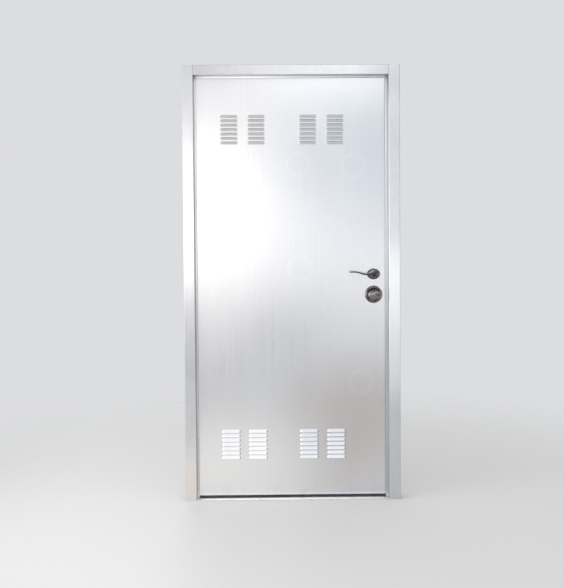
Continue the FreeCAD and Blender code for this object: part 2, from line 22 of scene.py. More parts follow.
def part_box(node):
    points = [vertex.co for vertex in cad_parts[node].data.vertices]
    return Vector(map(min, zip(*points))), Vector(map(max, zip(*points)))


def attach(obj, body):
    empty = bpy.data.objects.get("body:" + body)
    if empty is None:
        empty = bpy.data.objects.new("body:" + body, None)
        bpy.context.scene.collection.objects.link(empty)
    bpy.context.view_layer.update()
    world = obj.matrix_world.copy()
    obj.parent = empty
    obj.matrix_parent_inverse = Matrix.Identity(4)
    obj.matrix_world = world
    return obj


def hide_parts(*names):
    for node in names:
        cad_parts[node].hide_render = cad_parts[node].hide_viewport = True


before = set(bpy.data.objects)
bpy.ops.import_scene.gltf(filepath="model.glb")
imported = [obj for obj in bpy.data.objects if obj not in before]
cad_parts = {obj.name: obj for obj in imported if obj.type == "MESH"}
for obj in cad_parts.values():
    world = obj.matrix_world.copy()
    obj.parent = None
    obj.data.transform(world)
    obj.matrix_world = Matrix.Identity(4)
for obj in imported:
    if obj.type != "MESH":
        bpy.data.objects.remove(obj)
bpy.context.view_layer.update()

LOG = logging.getLogger("steel_door")

Axes = tuple["Signal", "Signal", "Signal"]
Band = tuple[float, float]
Bands = tuple[Band, ...]
Colour = tuple[float, float, float]
Cycles = tuple[float, float, float]
Point2 = tuple[float, float]
Term = Union["Signal", NodeSocket, float, Sequence[float]]

RIGHT = Vector((1.0, 0.0, 0.0))
AWAY = Vector((0.0, 1.0, 0.0))
UP = Vector((0.0, 0.0, 1.0))
MERGE = 1e-6  # Points nearer than this are one.
ON_FACE = 1e-7  # A point nearer than this lies on a plane.
BURR = 0.0003
BURR_ANGLE = 55.0
HOLE_STEPS = 24


class Side(Enum):
    """The leaf's two faces, by the word that starts the names of their pieces."""

    FRONT = "front"
    BACK = "back"


class Grain(Enum):
    """Which way a brushed sheet's fine lines run: noise cycles a metre along X, Y and Z."""

    UPRIGHT = (420.0, 420.0, 2.2)
    LEVEL = (2.2, 420.0, 420.0)


# Shader graphs


class Signal:
    """A number that varies over a surface: each operator adds one Math node."""

    def __init__(self, graph: "Graph", socket: NodeSocket) -> None:
        """Hold a socket of a graph."""
        self.graph = graph
        self.socket = socket

    def _math(self, operation: str, first: Term, second: Term) -> "Signal":
        """Join two terms with a Math node."""
        node = self.graph.add("ShaderNodeMath", {"operation": operation}, {0: first, 1: second})
        return Signal(self.graph, node.outputs[0])

    def __add__(self, other: Term) -> "Signal":
        """Sum."""
        return self._math("ADD", self, other)

    def __sub__(self, other: Term) -> "Signal":
        """Difference."""
        return self._math("SUBTRACT", self, other)

    def __rsub__(self, other: Term) -> "Signal":
        """Difference from a number on the left."""
        return self._math("SUBTRACT", other, self)

    def __mul__(self, other: Term) -> "Signal":
        """Product."""
        return self._math("MULTIPLY", self, other)

    __radd__ = __add__
    __rmul__ = __mul__


class Graph:
    """The node tree of one material or of the world."""

    def __init__(self, holder: Union[Material, World]) -> None:
        """Start an empty tree.

        Args:
            holder: The material or the world.
        """
        self.holder = holder
        self.holder.use_nodes = True
        self.tree = self.holder.node_tree
        self.tree.nodes.clear()

    def add(
        self,
        kind: str,
        settings: Optional[Mapping[str, object]] = None,
        sockets: Optional[Mapping[Union[int, str], Term]] = None,
    ) -> Node:
        """Add one node.

        Args:
            kind: The node's type.
            settings: Properties of the node, which are set first.
            sockets: Values or links of its inputs, by index or name.

        Returns:
            The node.
        """
        node = self.tree.nodes.new(kind)
        for name, value in (settings or {}).items():
            setattr(node, name, value)
        for name, value in (sockets or {}).items():
            source = value.socket if isinstance(value, Signal) else value
            if isinstance(source, NodeSocket):
                self.tree.links.new(source, node.inputs[name])
            else:
                node.inputs[name].default_value = source
        return node

    def axes(self, vector: NodeSocket) -> Axes:
        """A vector's three parts."""
        node = self.add("ShaderNodeSeparateXYZ", {}, {0: vector})
        return tuple(Signal(self, output) for output in node.outputs)

    def length(self, vector: NodeSocket) -> Signal:
        """A vector's length."""
        node = self.add("ShaderNodeVectorMath", {"operation": "LENGTH"}, {0: vector})
        return Signal(self, node.outputs["Value"])

    def rise(self, signal: Signal, band: Band) -> Signal:
        """A smooth step.

        Args:
            signal: What the step depends on.
            band: Where the step is 0 and where it is 1, of which the second may be the lower.

        Returns:
            The step, from 0 to 1.
        """
        settings = {"interpolation_type": "SMOOTHSTEP"}
        node = self.add("ShaderNodeMapRange", settings, {0: signal, 1: band[0], 2: band[1]})
        return Signal(self, node.outputs[0])

    def mix(self, share: Term, first: Term, second: Term) -> NodeSocket:
        """Blend two colours.

        Args:
            share: How much of the second colour shows.
            first: The first colour.
            second: The second colour.

        Returns:
            The blended colour.
        """
        sockets = {0: share}
        for index, value in ((6, first), (7, second)):
            sockets[index] = value if isinstance(value, NodeSocket) else (*value, 1.0)
        settings = {"data_type": "RGBA", "clamp_factor": True}
        return self.add("ShaderNodeMix", settings, sockets).outputs[2]


class Surface(Graph):
    """The graph of one material, whose patterns follow the point of the surface."""

    noise_falloff: ClassVar[float] = 0.55
    noise_middle: ClassVar[float] = 0.5

    def __init__(self, name: str) -> None:
        """Start a new material."""
        super().__init__(bpy.data.materials.new(name))
        self.point = self.add("ShaderNodeTexCoord").outputs["Object"]

    @cached_property
    def place(self) -> Axes:
        """The point's X, Y and Z in metres."""
        return self.axes(self.point)

    @cached_property
    def facing(self) -> Axes:
        """How far the surface looks along X, Y and Z, from -1 to 1."""
        return self.axes(self.add("ShaderNodeTexCoord").outputs["Normal"])

    def reach(self, centre: Point2, squeeze: float) -> Signal:
        """The distance from a centre on an upright face.

        Args:
            centre: The centre, across and up.
            squeeze: What distances across are multiplied by.

        Returns:
            The distance.
        """
        sockets = {
            "Vector": self.point,
            "Location": (-squeeze * centre[0], 0.0, -centre[1]),
            "Scale": (squeeze, 0.0, 1.0),
        }
        return self.length(self.add("ShaderNodeMapping", {}, sockets).outputs[0])

    def noise(self, cycles: Cycles, detail: float) -> Signal:
        """Soft noise around nought, at most a half either way.

        Args:
            cycles: Features a metre along X, Y and Z.
            detail: How many finer layers are added.

        Returns:
            The noise.
        """
        stretched = self.add("ShaderNodeMapping", {}, {"Vector": self.point, "Scale": cycles}).outputs[0]
        sockets = {"Vector": stretched, "Scale": 1.0, "Detail": detail, "Roughness": self.noise_falloff}
        return Signal(self, self.add("ShaderNodeTexNoise", {}, sockets).outputs[0]) - self.noise_middle

    def shade(self, colour: Colour, factor: Signal) -> NodeSocket:
        """A colour made lighter or darker by a factor."""
        return self.add("ShaderNodeVectorMath", {"operation": "SCALE"}, {0: colour, 3: factor}).outputs[0]

    def relief(self, height: Signal) -> NodeSocket:
        """A normal from a height in metres."""
        sockets = {"Height": height, "Distance": 1.0, "Strength": 1.0}
        return self.add("ShaderNodeBump", {}, sockets).outputs["Normal"]

    def close(self, sockets: Mapping[Union[int, str], Term]) -> Material:
        """Close the tree with a Principled shader.

        Args:
            sockets: Values or links of the shader's inputs.

        Returns:
            The material.
        """
        shader = self.add("ShaderNodeBsdfPrincipled", {}, sockets)
        self.add("ShaderNodeOutputMaterial", {}, {"Surface": shader.outputs[0]})
        return self.holder


# Finishes


@dataclass(frozen=True)
class Stain:
    """A soft mark: its colour, how much of it shows, and the bands that bound it.

    The mark starts at a band's first value and is full from its second on. Bands lie along X, Y and Z, along
    how far the surface looks right or up, and along the reach from a centre on an upright face.
    """

    name: str
    colour: Colour
    share: float
    x: Bands = ()
    y: Bands = ()
    z: Bands = ()
    rightward: Bands = ()
    upward: Bands = ()
    centre: Point2 = (0.0, 0.0)
    reach: Bands = ()
    squeeze: float = 1.0

    def over(self, surface: Surface, colour: NodeSocket) -> NodeSocket:
        """Lay the mark over a colour.

        Args:
            surface: The material's graph.
            colour: The colour so far.

        Returns:
            The marked colour.
        """
        bounds = []
        if self.x or self.y or self.z:
            bounds += zip(surface.place, (self.x, self.y, self.z))
        if self.rightward or self.upward:
            bounds += zip(surface.facing, (self.rightward, (), self.upward))
        if self.reach:
            bounds.append((surface.reach(self.centre, self.squeeze), self.reach))
        share: Term = self.share
        for signal, bands in bounds:
            for band in bands:
                share = share * surface.rise(signal, band)
        mixed = surface.mix(share, colour, self.colour)
        mixed.node.label = self.name
        return mixed


@dataclass(frozen=True)
class SatinSteel:
    """Galvanised sheet: brushed grain, clouds, spangle and soft swells, with dirt smeared at its foot."""

    name: str
    tint: Colour = (0.70, 0.705, 0.715)
    roughness: float = 0.32
    grain: Grain = Grain.UPRIGHT
    streak: float = 0.16
    streak_rough: float = 0.16
    streak_height: float = 0.000006
    cloud: float = 0.10
    cloud_rough: float = 0.14
    cloud_cycles: Cycles = (2.4, 2.4, 1.7)
    mottle: float = 0.05
    spangle_cycles: Cycles = (38.0, 38.0, 38.0)
    swell: float = 0.0006
    swell_cycles: Cycles = (3.1, 3.1, 2.3)
    grime: Colour = (0.36, 0.33, 0.30)
    grime_share: float = 0.15
    grime_rough: float = 0.08
    grime_height: float = 0.09
    grime_waver: float = 0.07
    smear_cycles: Cycles = (30.0, 30.0, 9.0)
    smear_band: Band = (-0.08, 0.25)
    stains: tuple[Stain, ...] = ()

    def material(self) -> Material:
        """Make the sheet's material.

        Returns:
            The material.
        """
        surface = Surface(self.name)
        streaks = surface.noise(self.grain.value, detail=4.0)
        clouds = surface.noise(self.cloud_cycles, detail=4.0)
        spangle = surface.noise(self.spangle_cycles, detail=2.0)
        tone = 1.0 + self.streak * streaks + self.cloud * clouds + self.mottle * spangle
        colour = surface.shade(self.tint, tone)
        for stain in self.stains:
            colour = stain.over(surface, colour)
        foot = surface.rise(surface.place[2] + self.grime_waver * clouds, (self.grime_height, 0.0))
        smears = foot * surface.rise(surface.noise(self.smear_cycles, detail=4.0), self.smear_band)
        colour = surface.mix(self.grime_share * smears, colour, self.grime)
        roughness = self.roughness + self.streak_rough * streaks + self.cloud_rough * clouds
        roughness = roughness + self.grime_rough * smears
        swells = surface.noise(self.swell_cycles, detail=1.0)
        normal = surface.relief(self.swell * swells + self.streak_height * streaks)
        return surface.close(
            {"Base Color": colour, "Metallic": 1.0, "Roughness": roughness, "Normal": normal}
        )


LOCK_SIDE: Band = (0.30, 0.45)
HINGE_SIDE: Band = (-0.30, -0.45)
# Colour of the painted highlights on the strike jamb.
PAINTED_HIGHLIGHT: Colour = (0.84, 0.845, 0.85)
ZINC_WORN: Colour = (0.52, 0.53, 0.545)


@dataclass(frozen=True)
class FrameSteel(SatinSteel):
    """The frame's sheet: patchy zinc with dull lengths and painted highlights, beige at the hinge jamb's
    foot.
    """

    tint: Colour = (0.66, 0.67, 0.685)
    mottle: float = 0.16
    swell: float = 0.0003
    grime: Colour = (0.74, 0.67, 0.61)
    grime_height: float = 0.40
    grime_share: float = 0.35
    stains: tuple[Stain, ...] = (
        Stain("dull_lock_foot", (0.55, 0.565, 0.58), 0.7, x=(LOCK_SIDE,), z=((0.60, 0.10),)),
        # Painted highlight: the strike jamb is lightened along its middle, where a lamp's glow falls.
        Stain("painted_highlight_lock_waist", PAINTED_HIGHLIGHT, 0.75, x=(LOCK_SIDE,), z=((0.40, 0.62), (1.30, 1.10))),
        # Painted highlight: the strike jamb's web, which faces the opening, is lightened as if lit from the
        # left.
        Stain("painted_highlight_lock_web", PAINTED_HIGHLIGHT, 0.9, x=(LOCK_SIDE,), rightward=((-0.5, -0.9),)),
        Stain("worn_hinge_top", ZINC_WORN, 0.5, x=(HINGE_SIDE,), z=((1.55, 1.75),)),
        Stain("worn_hinge_waist", ZINC_WORN, 0.5, x=(HINGE_SIDE,), z=((0.50, 0.65), (1.10, 0.90))),
        Stain("worn_lock_top", ZINC_WORN, 0.85, x=(LOCK_SIDE,), z=((1.85, 2.02),)),
        Stain(
            "beige_hinge_foot", (0.80, 0.755, 0.72), 0.85,
            x=(HINGE_SIDE,), y=((0.0, -0.030),), z=((0.34, 0.14),),
        ),
    )


LEAF_FRONT: Band = (0.0225, 0.0205)
LEAF_LOWER: Band = (1.10, 0.90)
LEAF_UPPER: Band = (0.90, 1.10)
BLADE: Band = (0.10, 0.40)
FLAT_SHEET: Band = (0.40, 0.10)
HOOD_END: Band = (0.22, 0.52)
RING_CENTRES: tuple[Point2, ...] = ((0.296, 1.598), (0.032, 1.607), (0.042, 1.108), (0.330, 0.560))
RING_BANDS: Bands = ((0.038, 0.054), (0.070, 0.054))
RING_PALE: Colour = (0.90, 0.91, 0.93)


@dataclass(frozen=True)
class LeafSteel(SatinSteel):
    """The leaf's sheet: warm and cool clouds, ring marks, and painted light and shade on corner, foot,
    blades and hood ends.
    """

    stains: tuple[Stain, ...] = (
        Stain(
            "warm_blush", (0.55, 0.495, 0.475), 0.65,
            y=(LEAF_FRONT,), upward=(FLAT_SHEET,), centre=(0.30, 0.36), reach=((0.46, 0.05),),
        ),
        # Painted shade: the upward-facing blades of the lower right hoods are darkened and cooled.
        Stain(
            "painted_shade_lower_blades", (0.52, 0.55, 0.59), 0.8,
            x=((-0.10, 0.08),), y=(LEAF_FRONT,), z=(LEAF_LOWER,), upward=(BLADE,),
        ),
        # Painted light: the flat sheet is lightened towards its lower left corner.
        Stain(
            "painted_light_lower_corner", (0.92, 0.915, 0.90), 0.75,
            y=(LEAF_FRONT,), upward=(FLAT_SHEET,), centre=(-0.30, 0.05), reach=((0.62, 0.08),),
        ),
        Stain(
            "cool_corner", (0.60, 0.645, 0.70), 0.60,
            y=(LEAF_FRONT,), centre=(0.36, 1.66), reach=((0.60, 0.10),),
        ),
        *(
            Stain("ring_mark", RING_PALE, 0.09, y=(LEAF_FRONT,), centre=centre, reach=RING_BANDS)
            for centre in RING_CENTRES
        ),
        # Painted highlight: a pale blue-white band along the foot of the leaf.
        Stain("painted_highlight_foot", (0.86, 0.89, 0.94), 0.6, z=((0.032, 0.020),)),
        # Painted shade: the right-facing ends of the lower hoods are darkened.
        Stain("painted_shade_lower_hood_ends", (0.20, 0.21, 0.23), 0.9, z=(LEAF_LOWER,), rightward=(HOOD_END,)),
        # Painted highlight: the right-facing ends of the upper hoods are lightened.
        Stain("painted_highlight_upper_hood_ends", (0.90, 0.91, 0.93), 0.9, z=(LEAF_UPPER,), rightward=(HOOD_END,)),
    )


@dataclass(frozen=True)
class Pattern:
    """Noise by its features a metre along X, Y and Z, its finer layers and its share of the roughness."""

    cycles: Cycles
    detail: float
    rough: float


@dataclass(frozen=True)
class PatchyFinish:
    """Soft patches of a second colour on a first, under a fine tooth."""

    name: str
    tint: Colour
    patch: Colour
    roughness: float
    metallic: float
    tooth: float
    patch_share: float
    patch_band: Band
    patch_waver: float
    broad: Pattern
    fine: Pattern
    stains: tuple[Stain, ...] = ()

    def material(self) -> Material:
        """Make the material.

        Returns:
            The material.
        """
        surface = Surface(self.name)
        broad = surface.noise(self.broad.cycles, self.broad.detail)
        fine = surface.noise(self.fine.cycles, self.fine.detail)
        patches = surface.rise(broad + self.patch_waver * fine, self.patch_band)
        colour = surface.mix(self.patch_share * patches, self.tint, self.patch)
        for stain in self.stains:
            colour = stain.over(surface, colour)
        return surface.close(
            {
                "Base Color": colour,
                "Metallic": self.metallic,
                "Roughness": self.roughness + self.broad.rough * broad + self.fine.rough * fine,
                "Normal": surface.relief(self.tooth * fine),
            }
        )


@dataclass(frozen=True)
class PlatedSteel(PatchyFinish):
    """Zinc plate on hinges, bolts and screws: bright, with faint yellow patches."""

    tint: Colour = (0.47, 0.47, 0.48)
    patch: Colour = (0.40, 0.375, 0.33)
    roughness: float = 0.32
    metallic: float = 1.0
    tooth: float = 0.000008
    patch_share: float = 0.6
    patch_band: Band = (-0.05, 0.22)
    patch_waver: float = 0.0
    broad: Pattern = Pattern((55.0, 55.0, 55.0), detail=4.0, rough=0.22)
    fine: Pattern = Pattern((900.0, 900.0, 900.0), detail=2.0, rough=0.10)


@dataclass(frozen=True)
class AntiqueBronze(PatchyFinish):
    """Dark cast bronze, rubbed lighter in patches."""

    tint: Colour = (0.110, 0.100, 0.099)
    patch: Colour = (0.250, 0.225, 0.216)
    roughness: float = 0.23
    metallic: float = 1.0
    tooth: float = 0.00003
    patch_share: float = 1.0
    patch_band: Band = (-0.14, 0.22)
    patch_waver: float = 0.25
    broad: Pattern = Pattern((46.0, 46.0, 46.0), detail=3.0, rough=0.16)
    fine: Pattern = Pattern((620.0, 620.0, 620.0), detail=3.0, rough=0.12)


@dataclass(frozen=True)
class Rubber(PatchyFinish):
    """Dark sealing rubber with a dusty bloom."""

    tint: Colour = (0.062, 0.062, 0.080)
    patch: Colour = (0.115, 0.115, 0.140)
    roughness: float = 0.65
    metallic: float = 0.0
    tooth: float = 0.00002
    patch_share: float = 0.5
    patch_band: Band = (-0.05, 0.30)
    patch_waver: float = 0.0
    broad: Pattern = Pattern((24.0, 24.0, 60.0), detail=4.0, rough=0.0)
    fine: Pattern = Pattern((700.0, 700.0, 700.0), detail=2.0, rough=0.2)


@dataclass(frozen=True)
class PaleFloor:
    """A plain pale floor that fades into the background."""

    name: str
    tint: Colour = (0.69, 0.69, 0.69)
    roughness: float = 0.45
    fade: Band = (3.2, 1.1)

    def material(self) -> Material:
        """Make the floor's material.

        Returns:
            The material.
        """
        surface = Surface(self.name)
        alpha = surface.rise(surface.length(surface.point), self.fade)
        return surface.close(
            {"Base Color": (*self.tint, 1.0), "Roughness": self.roughness, "Alpha": alpha}
        )


def middle_of(node: str) -> Point2:
    """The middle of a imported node, across and up."""
    low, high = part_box(node)
    return (low.x + high.x) / 2, (low.z + high.z) / 2


class Finishes:
    """The door's materials, each made once."""

    def __init__(self) -> None:
        """Make every finish."""
        self.leaf = LeafSteel("leaf_satin_steel").material()
        self.jamb = FrameSteel("jamb_satin_steel").material()
        self.head = FrameSteel("head_satin_steel", tint=(0.585, 0.595, 0.61), grain=Grain.LEVEL).material()
        self.hinge_stop = SatinSteel("hinge_stop_steel", tint=(0.66, 0.67, 0.68), roughness=0.36).material()
        # Painted shade: the strike stop gets a darker, bluer tint than the other stops, for the shade in its
        # recess.
        self.strike_stop = SatinSteel(
            "strike_stop_steel_painted_shade", tint=(0.535, 0.545, 0.57), roughness=0.38
        ).material()
        # Painted light: the head stop gets a lighter tint than the rest of the steel, making up for the
        # light its recess keeps off.
        self.head_stop = SatinSteel(
            "head_stop_steel_painted_light", tint=(0.93, 0.93, 0.93), roughness=0.36, grain=Grain.LEVEL
        ).material()
        self.sill = SatinSteel("threshold_steel", tint=(0.80, 0.805, 0.81), grain=Grain.LEVEL).material()
        self.edge = SatinSteel("edge_channel_steel", tint=(0.56, 0.565, 0.575), roughness=0.42).material()
        self.plate = PlatedSteel("zinc_plate").material()
        self.screw = PlatedSteel(
            "screw_zinc", tint=(0.27, 0.27, 0.28), patch=(0.22, 0.205, 0.18), roughness=0.36
        ).material()
        self.bronze = AntiqueBronze("antique_bronze").material()
        # Painted shade: the lever is darkened round its hub, for the shade where it meets its rose.
        painted_lever_shade = Stain(
            "painted_lever_shade", (0.042, 0.038, 0.037), 0.85,
            centre=middle_of("front_lever_rose"), reach=((0.013, 0.0104),),
        )
        self.lever = AntiqueBronze(
            "lever_bronze", tint=(0.060, 0.055, 0.055), patch=(0.135, 0.121, 0.116), stains=(painted_lever_shade,)
        ).material()
        # Painted shade: the knob rose is darkened in an oval round the knob, for the knob's shadow.
        painted_knob_shadow = Stain(
            "painted_knob_shadow", (0.030, 0.027, 0.026), 0.85,
            centre=middle_of("front_knob_rose"), reach=((0.027, 0.0216),), squeeze=0.8,
        )
        self.knob_rose = AntiqueBronze("knob_rose_bronze", stains=(painted_knob_shadow,)).material()
        self.grip = AntiqueBronze(
            "grip_bronze", tint=(0.21, 0.19, 0.185), patch=(0.33, 0.297, 0.287),
            roughness=0.16, tooth=0.00001,
        ).material()
        self.rubber = Rubber("seal_rubber").material()


# Shaping


def arc(centre: Point2, radius: float, start: float, end: float, steps: int) -> list[Point2]:
    """Points along an arc from one angle in degrees to another, joined by that many chords."""
    turns = [math.radians(start + (end - start) * step / steps) for step in range(steps + 1)]
    return [(centre[0] + radius * math.cos(turn), centre[1] + radius * math.sin(turn)) for turn in turns]


def hole(centre: Point2, radius: float) -> list[Point2]:
    """The outline of a round hole."""
    return arc(centre, radius, 0.0, 360.0, HOLE_STEPS)[:-1]


def rectangle(low: Point2, high: Point2) -> list[Point2]:
    """The outline of a rectangle between two corners."""
    return [(low[0], low[1]), (high[0], low[1]), (high[0], high[1]), (low[0], high[1])]


class Forge:
    """A mesh being shaped into one named piece of the door."""

    def __init__(self, name: str) -> None:
        """Start an empty form."""
        self.name = name
        self.form = bmesh.new()

    def line(self, points: Iterable[Sequence[float]], closed: bool = False) -> list[BMEdge]:
        """Edges through points.

        Args:
            points: The line's points.
            closed: Whether the last point joins the first.

        Returns:
            The edges in order.
        """
        verts = [self.form.verts.new(point) for point in points]
        ends = verts[1:] + verts[:1] if closed else verts[1:]
        return [self.form.edges.new(pair) for pair in zip(verts, ends)]

    def draw_out(self, edges: Sequence[BMEdge], offset: Vector) -> list[BMEdge]:
        """Extrude a line of edges straight.

        Args:
            edges: The line.
            offset: How far it is drawn.

        Returns:
            The line's copy at the far end.
        """
        made = bmesh.ops.extrude_edge_only(self.form, edges=edges)["geom"]
        verts = {item for item in made if isinstance(item, BMVert)}
        bmesh.ops.translate(self.form, vec=offset, verts=list(verts))
        return [item for item in made if isinstance(item, BMEdge) and verts.issuperset(item.verts)]

    def turn(self, edges: Sequence[BMEdge], centre: Vector, axis: Vector, angle: float, steps: int) -> None:
        """Spin a line of edges about an axis.

        Args:
            edges: The line.
            centre: A point of the axis.
            axis: The axis's direction.
            angle: How far the line turns, a full turn or less.
            steps: How many faces that makes.
        """
        verts = list({vert for edge in edges for vert in edge.verts})
        bmesh.ops.spin(
            self.form,
            geom=verts + list(edges),
            cent=centre,
            axis=axis,
            angle=angle,
            steps=steps,
            use_merge=math.isclose(abs(angle), math.tau),
        )

    def new_verts(self, before: set[BMVert]) -> list[BMVert]:
        """The vertices that were not there before."""
        return [vert for vert in self.form.verts if vert not in before]

    def lathe(
        self, outline: Sequence[Point2], seat: Vector, outward: Vector, steps: int = 64, ring: bool = True
    ) -> list[BMVert]:
        """Turn an outline about an axis through a seat.

        Args:
            outline: Radius and height of each point.
            seat: The point of the axis at height nought.
            outward: The way that height is measured.
            steps: Faces round the axis.
            ring: Whether the outline closes on itself round a bore.

        Returns:
            The vertices made.
        """
        before = set(self.form.verts)
        across = RIGHT if outward.x == 0.0 else AWAY
        points = [seat + across * radius + outward * height for radius, height in outline]
        self.turn(self.line(points, closed=ring), seat, outward, math.tau, steps)
        bmesh.ops.remove_doubles(self.form, verts=self.new_verts(before), dist=MERGE)
        return self.new_verts(before)

    def stretch(self, verts: Sequence[BMVert], centre: Vector, factors: Sequence[float]) -> None:
        """Scale vertices along X, Y and Z from a centre."""
        scale = Matrix.Translation(centre) @ Matrix.Diagonal((*factors, 1.0)) @ Matrix.Translation(-centre)
        bmesh.ops.transform(self.form, matrix=scale, verts=verts)

    def block(self, low: Vector, high: Vector, round_off: float, segments: int = 2) -> None:
        """Add a rectangular bar with rounded edges.

        Args:
            low: Its lowest corner.
            high: Its highest corner.
            round_off: How far its edges are rounded.
            segments: Faces across each rounded edge.
        """
        place = Matrix.Translation((low + high) / 2) @ Matrix.Diagonal((*(high - low), 1.0))
        verts = bmesh.ops.create_cube(self.form, size=1.0, matrix=place)["verts"]
        bmesh.ops.bevel(
            self.form,
            geom=list({edge for vert in verts for edge in vert.link_edges}),
            offset=round_off,
            segments=segments,
            profile=0.5,
            affect="EDGES",
            material=-1,
        )

    def fill(self, edges: Sequence[BMEdge], normal: Vector) -> None:
        """Close a flat outline, leaving the outlines inside it open."""
        bmesh.ops.triangle_fill(self.form, edges=edges, use_beauty=True, use_dissolve=False, normal=normal)

    def merge(self) -> None:
        """Merge doubled vertices."""
        bmesh.ops.remove_doubles(self.form, verts=self.form.verts, dist=MERGE)

    def tidy(self, outward: Optional[Vector] = None) -> None:
        """Merge doubles and turn all faces outwards.

        Args:
            outward: For an open sheet, the way that its largest face looks.
        """
        self.merge()
        bmesh.ops.recalc_face_normals(self.form, faces=self.form.faces)
        if outward is not None:
            largest = max(self.form.faces, key=lambda face: face.calc_area())
            if largest.normal.dot(outward) < 0.0:
                bmesh.ops.reverse_faces(self.form, faces=self.form.faces)

    def mirror_to(self, side: Side, middle_y: float) -> None:
        """Carry a form made for the front to its face of the leaf.

        Args:
            side: The face that it belongs on.
            middle_y: The middle of the leaf's thickness.
        """
        if side is Side.BACK:
            self.stretch(self.form.verts, AWAY * middle_y, (1.0, -1.0, 1.0))
            bmesh.ops.reverse_faces(self.form, faces=self.form.faces)

    def piece(
        self,
        finish: Material,
        body: str,
        slot: str,
        stands_for: Sequence[str] = (),
        smooth: float = 32.0,
    ) -> Object:
        """Make the object.

        Args:
            finish: Its material.
            body: The body that it rides on.
            slot: The record's material slot; not used.
            stands_for: The nodes that it replaces.
            smooth: Edges flatter than this many degrees are shaded smooth.

        Returns:
            The object.
        """
        mesh = bpy.data.meshes.new(self.name)
        self.form.to_mesh(mesh)
        self.form.free()
        mesh.shade_smooth()
        mesh.set_sharp_from_angle(angle=math.radians(smooth))
        mesh.materials.append(finish)
        item = bpy.data.objects.new(self.name, mesh)
        bpy.context.scene.collection.objects.link(item)
        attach(item, body)
        if stands_for:
            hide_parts(*stands_for)
        LOG.info("%s: %d faces, rides on %s", self.name, len(mesh.polygons), body)
        return item


def modify(item: Object, name: str, kind: str, **settings: object) -> None:
    """Add a modifier to a piece.

    Args:
        item: The piece.
        name: The modifier's name.
        kind: Its type.
        settings: Its properties.
    """
    modifier = item.modifiers.new(name, kind)
    for key, value in settings.items():
        setattr(modifier, key, value)


def thicken(item: Object, thickness: float) -> None:
    """Give an open sheet its thickness inwards and take the burr off its cut edges.

    Args:
        item: The sheet.
        thickness: How thick it becomes.
    """
    modify(item, "wall", "SOLIDIFY", thickness=thickness, offset=-1.0, use_even_offset=True)
    limits = {"limit_method": "ANGLE", "angle_limit": math.radians(BURR_ANGLE)}
    modify(item, "burr", "BEVEL", width=BURR, segments=2, profile=0.5, **limits)
    modify(item, "flat", "WEIGHTED_NORMAL", keep_sharp=True, weight=100)


def dress_node(name: str, finish: Material) -> None:
    """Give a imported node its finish.

    Args:
        name: The node.
        finish: Its material.
    """
    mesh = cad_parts[name].data
    mesh.materials.clear()
    mesh.materials.append(finish)
    LOG.info("%s: packed solid, dressed in %s", name, finish.name)


@dataclass
class SubAssembly(ABC):
    """A group of the door's pieces, with the materials to dress them in."""

    finishes: Finishes

    @abstractmethod
    def build(self) -> None:
        """Shape and dress the pieces."""


# The frame


